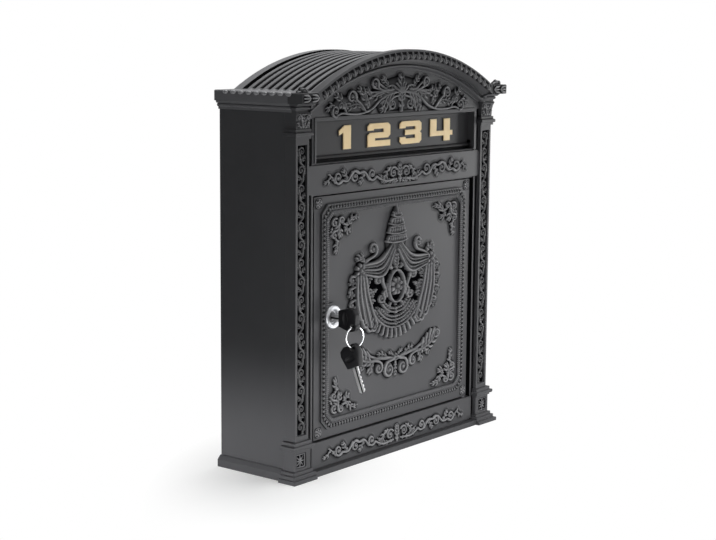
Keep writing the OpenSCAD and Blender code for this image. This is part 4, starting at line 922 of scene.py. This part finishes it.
# Door corners: a spray of leaf curls in each corner of the field, with one long arm along the top and
# a shorter one down the side, 2 to 3 mm proud. One spray is modelled and turned into all four corners.
spray = carving_ground(-1, 50, -43, 2, 0.5)
for volute in (
    ((7.5, -8.0), 5.0, 60, 1.35, 1, 2.5, 3.2),
    ((19, -6.6), 4.8, 200, 1.35, -1, 2.4, 3.1, [(8, -14), (13, -11)]),
    ((7.0, -21), 4.6, 70, 1.35, 1, 2.4, 3.1, [(15, -10), (13, -15)]),
):
    carve_curl(spray, *volute)
for leaf in (
    ([(10, -12), (15, -17), (18, -24)], 3, 5.6, 2.8, 3.1),
    ([(22, -10), (29, -12), (33, -8), (39, -4.5), (48, -5.5)], 4, 5.0, 2.5, 2.9),
    ([(9, -25), (12, -30), (9, -35), (10, -41.5)], 3, 4.6, 2.5, 2.8),
    ([(4, -13), (2.2, -17), (2.0, -24)], 3, 2.4, 1.6, 2.2),
    ([(24, -14), (28, -18), (34, -18)], 3, 4.4, 2.4, 2.6),
):
    carve_frond(spray, *leaf)
for name, way_x, way_z in door_corners:
    cast_piece(name + "_spray", spray,
               on_front(relief_y, way_x * 115.0, 273.4 if way_z > 0 else 58.0, -way_x, way_z),
               "door_leaf", flipped=way_x * way_z > 0)

# Lower scroll of the door: two large volutes hang under a knot, and an arm runs out to each side and
# rises into a leaf that curls over at its end.
scroll = carving_ground(-87, 87, 78, 129)
for u, v, across in ((12.5, 93, 16.5), (31, 97.5, 11.5), (77, 121, 7.5)):
    carve_bead(scroll, (u, v), across, 2.3)
carve_rosette(scroll, (0, 105.5), 4.6, 6, 3.2)
for u, v, tip_u, tip_v in ((50, 108.5, 52, 119), (56, 110.5, 59, 123.5), (62, 113, 66, 127.5), (68, 117, 73, 128.5)):
    blade = [(u, v), ((u + tip_u) / 2 - 2.2, (v + tip_v) / 2), (tip_u, tip_v)]
    carve(scroll, bent(blade), [2.4, 4.2, 2.6], [3.4, 4.0, 3.0], 0.3)
carve(scroll, bent([(3, 104), (16, 106.5), (30, 108.2), (44, 107.5)]), [5.0, 4.0], [3.4, 3.0], 0.4)
carve(scroll, bent([(34, 109), (44, 112), (56, 117), (64, 124)]), [2.2, 4.2, 2.0], [2.4, 3.6, 2.4], 0.35)
for volute in (
    ((12.5, 93), 9.2, 62, 1.5, -1, 3.8, 4.2, [(2, 106), (8, 103.5)]),
    ((31, 97.5), 6.6, 118, 1.4, 1, 3.2, 3.7, [(44, 107), (37, 106.5)]),
    ((77.5, 121), 5.0, 120, 1.2, -1, 2.8, 3.6),
):
    carve_curl(scroll, *volute)
for leaf in (
    ([(42, 107), (52, 108), (63, 112), (72, 119), (76, 126)], 6, 9.0, 3.8, 4.0),
    ([(40, 106), (46, 101), (45, 94)], 4, 5.6, 2.8, 3.2),
    ([(52, 108), (58, 104), (63, 101)], 3, 4.6, 2.6, 2.8),
    ([(16, 108), (24, 112), (33, 113)], 3, 4.2, 2.4, 2.6),
    ([(4, 108), (8, 111), (13, 112)], 3, 2.8, 1.8, 2.4),
    ([(0, 100), (0, 91), (0, 84)], 4, 3.2, 2.0, 2.6),
):
    carve_frond(scroll, *leaf)
mirror_ground(scroll)
cast_piece("door_lower_scroll", scroll, on_front(relief_y), "door_leaf")

# Centre of the door: a generic ornament in place of the one on the real box. A tiered finial stands over
# two swags tied to rosettes, curtains with deep folds hang from them, and leaf scrolls surround an oval
# flower over a beaded apron with a fringe. It is the deepest relief of the door, up to 7 mm proud.
drape = carving_ground(-87, 87, 127, 278.5, 0.72)
carve(drape, [(0, 236), (0, 250), (0, 264), (0, 277)], [36, 28, 16, 1.5], [2.2, 2.6, 2.6, 2.0])
for v, half, count in ((236, 18, 4), (245.5, 15, 3), (255, 11.5, 2), (264, 7.5, 2)):
    carve(drape, bent([(0, v - 1.2), (half * 0.6, v - 0.6), (half, v + 1.0)]), 2.0, 5.4)
    for k in range(count + 1):
        u, tall = k * half / (count + 0.3), 6.6 - (v > 260) * 2.5
        blade = [(u, v + 1), (u * 0.93, v + 0.55 * tall), (u * 0.86, v + tall)]
        carve(drape, bent(blade), [2.2, 2.9, 1.8], [4.2, 5.4, 4.4], 0.3)
for v, half in ((242.6, 15.5), (252.2, 12.2), (261.4, 8.6)):
    for k in range(int(half / 2.7) + 1):
        carve_bead(drape, (k * 2.7, v), 2.5, 5.9)
carve(drape, [(0, 268), (0, 277)], [4.0, 1.4], [5.0, 3.0])
for i in range(5):
    k, lift = i / 4, 1.3 * (i % 2 == 0)
    carve(drape, bent([(6 - 3 * k, 236 - 9 * k), (28 - 4 * k, 218 - 17 * k), (59 - 2 * k, 215 - 10 * k)]),
          [1.8, 2.9 + lift, 2.6], [3.6 + lift * 0.5, 4.2 + lift, 4.2 + lift * 0.4])
carve_rosette(drape, (64, 210), 8.0, 6, 6.2)
carve_curl(drape, (41, 231), 7.6, 250, 1.4, -1, 2.6, 4.4, [(58, 216), (50, 220)])
carve_frond(drape, [(56, 218), (62, 224), (70, 222)], 4, 5.0, 2.4, 4.0)
for i in range(7):
    k, lift = i / 6, 1.5 * (i % 2 == 0)
    carve(drape, bent([(55 + 14 * k, 204), (49 + 20 * k, 180), (34 + 31 * k, 146 - 8 * k + 25 * k * k)]),
          [1.6 + 0.5 * lift, 2.6 + lift], [3.4 + lift, 3.2 + lift])
for u, v, du, dv in ((34, 147, 9, -5), (43, 143, 9, 3), (52, 147, 8, 7), (59, 155, 6, 9)):
    carve(drape, bent([(u, v), (u + du * 0.5, v + dv * 0.5 - 3), (u + du, v + dv)]), [3.2, 3.2], [5.0, 5.0], 0.2)
for u, v, radius, start in ((76, 201, 4.6, 140), (77.5, 188, 4.4, 120), (76.5, 174, 4.4, 110), (72, 161, 4.2, 100)):
    carve_curl(drape, (u, v), radius, start, 1.25, -1, 2.2, 3.8, [(u - 9, v + 3), (u - 6, v + 5)])
    carve_frond(drape, [(u - 7, v - 2), (u - 1, v - 5), (u + 6, v - 3)], 3, 3.2, 1.8, 3.0)
oval_z = 186
oval = [(14 * math.cos(a), oval_z + 18 * math.sin(a)) for a in np.radians(-90 + 22.5 * np.arange(17))]
for k in range(16):
    carve(drape, oval[k:k + 2], 2.4, 5.6)
carve_rosette(drape, (0, oval_z), 10.5, 8, 6.4)
for volute in (
    ((31, 196), 7.2, 200, 1.45, -1, 2.5, 4.6, [(16, 176), (20, 186)]),
    ((26, 175), 6.2, 120, 1.4, 1, 2.4, 4.4, [(15, 190), (19, 184)]),
):
    carve_curl(drape, *volute)
for leaf in (
    ([(8, 206), (14, 213), (13, 222)], 4, 5.0, 2.4, 4.4),
    ([(0, 205), (0, 213), (0, 224)], 5, 5.4, 2.6, 5.0),
    ([(18, 203), (25, 207), (33, 206)], 4, 4.4, 2.2, 4.0),
    ([(10, 168), (17, 160), (26, 160), (34, 166)], 5, 4.6, 2.4, 4.2),
    ([(34, 186), (41, 182), (43, 172)], 4, 4.0, 2.0, 3.6),
):
    carve_frond(drape, *leaf)
for u, v, radius, start, hand in (
        (47, 196, 4.6, 150, -1), (45.5, 184, 4.0, 40, 1), (42, 172, 4.6, 160, -1), (38, 160, 4.2, 40, 1),
        (22, 214, 4.8, 200, 1), (33, 214, 3.8, 60, -1), (13, 158, 4.0, 250, 1), (24, 150.5, 3.6, 100, -1),
        (44, 206, 3.6, 300, 1), (9, 222, 3.4, 120, -1)):
    carve_curl(drape, (u, v), radius, start, 1.2, hand, 2.0, 3.8)
    for turn in (-50, 0, 50):
        a = math.radians(start + 180 + turn)
        root = (u + radius * math.cos(a), v + radius * math.sin(a))
        tip = (u + radius * 1.55 * math.cos(a + 0.5), v + radius * 1.55 * math.sin(a + 0.5))
        carve(drape, [root, tip], [2.0, 1.6], [3.4, 2.4])
for k in range(9):
    carve_bead(drape, (0, 143 + 3.2 * k), 2.6, 4.4)


def apron_spot(radius, degrees):
    """Point of the apron, round the middle of its arcs, counted from straight down"""
    return radius * math.sin(math.radians(degrees)), apron_z - radius * math.cos(math.radians(degrees))


apron_z = 190
for radius in (33, 42, 50):
    carve(drape, [apron_spot(radius, a) for a in np.linspace(0, 50, 14)], 1.6, 4.6)
    for a in np.arange(2.5, 50, 250 / radius):
        carve_bead(drape, apron_spot(radius - 4, a), 3.4, 4.4)
for a in np.arange(0, 56, 8.2):
    carve(drape, [apron_spot(51.5, a), apron_spot(60.5, a)], [2.8, 3.8], [3.6, 4.8])
mirror_ground(drape)
cast_piece("door_centre_ornament", drape, on_front(relief_y, -2.0), "door_leaf", keep=lambda u, v: v < 278,
           inner=lambda u, v: (np.abs(u) < np.interp(v, (143, 160, 180, 205), (36, 48, 56, 58)))
           & (v < 232 - 0.45 * np.abs(u)) & (u ** 2 + (v - apron_z) ** 2 < 55 ** 2))

# Lock and keys: a cam lock with a round satin-chromed flange, nickel-plated blades in black moulded heads, and
# a bright ring that carries both. The heads are moulded with soft edges and an oval dish on each side.


def metal(name, tone, rough, scratch):
    """Plated metal: near-even tone, roughness that varies a little, and fine brushing or pits"""
    material, tree, shader, grain = finish(name, 2500, 220)
    wire(shader, {"Base Color": (*tone, 1), "Metallic": 1.0,
                  "Roughness": ramp(tree, grain["Cloud"], wanted=(rough * 0.7, rough * 1.5)),
                  "Normal": fine_relief(tree, grain["Height"], scratch, 0.02, 0.3)})
    return material


chrome = metal("bright_chrome", (0.74, 0.75, 0.77), 0.12, 0.15)
zinc = metal("zinc_plate", (0.5, 0.5, 0.49), 0.34, 0.5)
dark_steel = metal("oiled_steel", (0.10, 0.10, 0.105), 0.42, 0.5)
satin_chrome = metal("satin_chrome", (0.58, 0.59, 0.61), 0.46, 0.3)
finish_nodes(satin_chrome, "lock_barrel")
finish_nodes(chrome, "key_ring")
finish_nodes(zinc, "case_screws", "flap_rod", "rod_clips", "lock_nut", "lock_cam", "cam_screw")
finish_nodes(dark_steel, "pivot_pin_upper", "pivot_pin_lower", "pivot_washer", "lock_plug")
head_plastic = enamel("black_key_plastic", (0.008, 0.008, 0.009), (0.013, 0.013, 0.015), 0.42)
head_plastic.node_tree.nodes["Principled BSDF"].inputs["Specular IOR Level"].default_value = 0.25


def moulded_head():
    """Head of a key as one mesh in its own place: blade side at 0, reaching to -Y, 8 mm thick along X"""
    outline = bpy.data.curves.new("head_outline", "CURVE")
    outline.dimensions = "2D"
    outline.fill_mode = "BOTH"
    outline.bevel_depth = 1.2 * MM
    outline.bevel_resolution = 3
    outline.extrude = 2.7 * MM
    outer = [(-1.3, -7.7), (-14.5, -11.4), (-19.4, -10.6), (-22.2, -8.0), (-22.3, 0), (-22.3, 5.6), (-19.2, 10.3),
             (-14.5, 11.4), (-1.3, 7.7), (-1.2, 0)]
    eye_u, eye_v, eye_r = -19.6, -6.5, 3.6
    eye = [(eye_u + eye_r * math.cos(math.radians(30 * k)), eye_v + eye_r * math.sin(math.radians(30 * k)))
           for k in range(12)]
    for points in (outer, eye):
        spline = outline.splines.new("POLY")
        spline.points.add(len(points) - 1)
        for k, (u, v) in enumerate(points):
            spline.points[k].co = (u * MM, v * MM, 0, 1)
        spline.use_cyclic_u = True
    holder = placed("head_outline", outline)
    mesh = finished_mesh(holder)
    bpy.data.objects.remove(holder)
    # (u, v, w) of the outline are Y, Z and X of the key
    mesh.transform(Matrix(((0, 0, 1, 0), (1, 0, 0, 0), (0, 1, 0, 0), (0, 0, 0, 1))))
    return mesh


def key_head_piece(name, node, place, body):
    """Moulded head in place of a CAD node: the closed outline, with an oval dish cut into both sides"""
    shape = bmesh.new()
    shape.from_mesh(moulded_head())
    bmesh.ops.remove_doubles(shape, verts=shape.verts, dist=1e-6)
    bmesh.ops.recalc_face_normals(shape, faces=shape.faces)
    head = solid_of(name, shape)
    shape = bmesh.new()
    for side in (-1, 1):
        dish = (Matrix.Translation(Vector((side * 4.1, -9.6, 0.6)) * MM)
                @ Matrix.Diagonal((1.5 * MM, 3.4 * MM, 7.0 * MM, 1)))
        bmesh.ops.create_uvsphere(shape, u_segments=28, v_segments=14, radius=1.0, matrix=dish)
    cutter = solid_of("dish", shape)
    cut = head.modifiers.new("dish", "BOOLEAN")
    cut.object = cutter
    cut.operation = "DIFFERENCE"
    solid = finished_mesh(head)
    head.modifiers.remove(cut)
    bpy.data.objects.remove(cutter)
    solid.transform(place)
    solid.materials.clear()
    solid.materials.append(head_plastic)
    solid.polygons.foreach_set("use_smooth", [True] * len(solid.polygons))
    solid.set_sharp_from_angle(angle=math.radians(32))
    head.data = solid
    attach(head, body)
    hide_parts(node)


in_lock = Matrix.Translation(Vector((-112.0, -113.0, 166.0)) * MM)
hanging = (Matrix.Translation(Vector((-112.0, -132.6, 136.9)) * MM) @ Matrix.Rotation(math.radians(-112), 4, "X")
           @ Matrix.Translation(Vector((0, 19.6, 6.5)) * MM))
nickel_tone, groove_shade_tone = (0.78, 0.78, 0.785), (0.035, 0.035, 0.033)
groove_z, groove_half, groove_edge = -0.6, 0.7, 1.1
for name, place in (("key_blade", in_lock), ("spare_key_blade", hanging)):
    # painted shade: a dark stripe along the blade stands for the shade in its milled groove
    nickel = metal("nickel_" + name, nickel_tone, 0.32, 0.5)
    tree = nickel.node_tree
    spot = add_node(tree, "ShaderNodeTexCoord").outputs["Object"]
    own = add_node(tree, "ShaderNodeMapping", {"Vector": spot, "Location": place.to_translation(),
                                               "Rotation": place.to_euler()}, vector_type="TEXTURE")
    own_z = add_node(tree, "ShaderNodeSeparateXYZ", {"Vector": own.outputs["Vector"]}).outputs["Z"]
    off_groove = worked_out(tree, "ABSOLUTE", worked_out(tree, "SUBTRACT", own_z, groove_z * MM))
    plated = ramp(tree, off_groove, (groove_half * MM, groove_edge * MM))
    wire(tree.nodes["Principled BSDF"],
         {"Base Color": mixed(tree, plated, (*groove_shade_tone, 1), (*nickel_tone, 1))})
    finish_nodes(nickel, name)
for name, node, place, body in (("moulded_key_head", "key_head", in_lock, "key"),
                                ("moulded_spare_head", "spare_key_head", hanging, "spare_key")):
    key_head_piece(name, node, place, body)
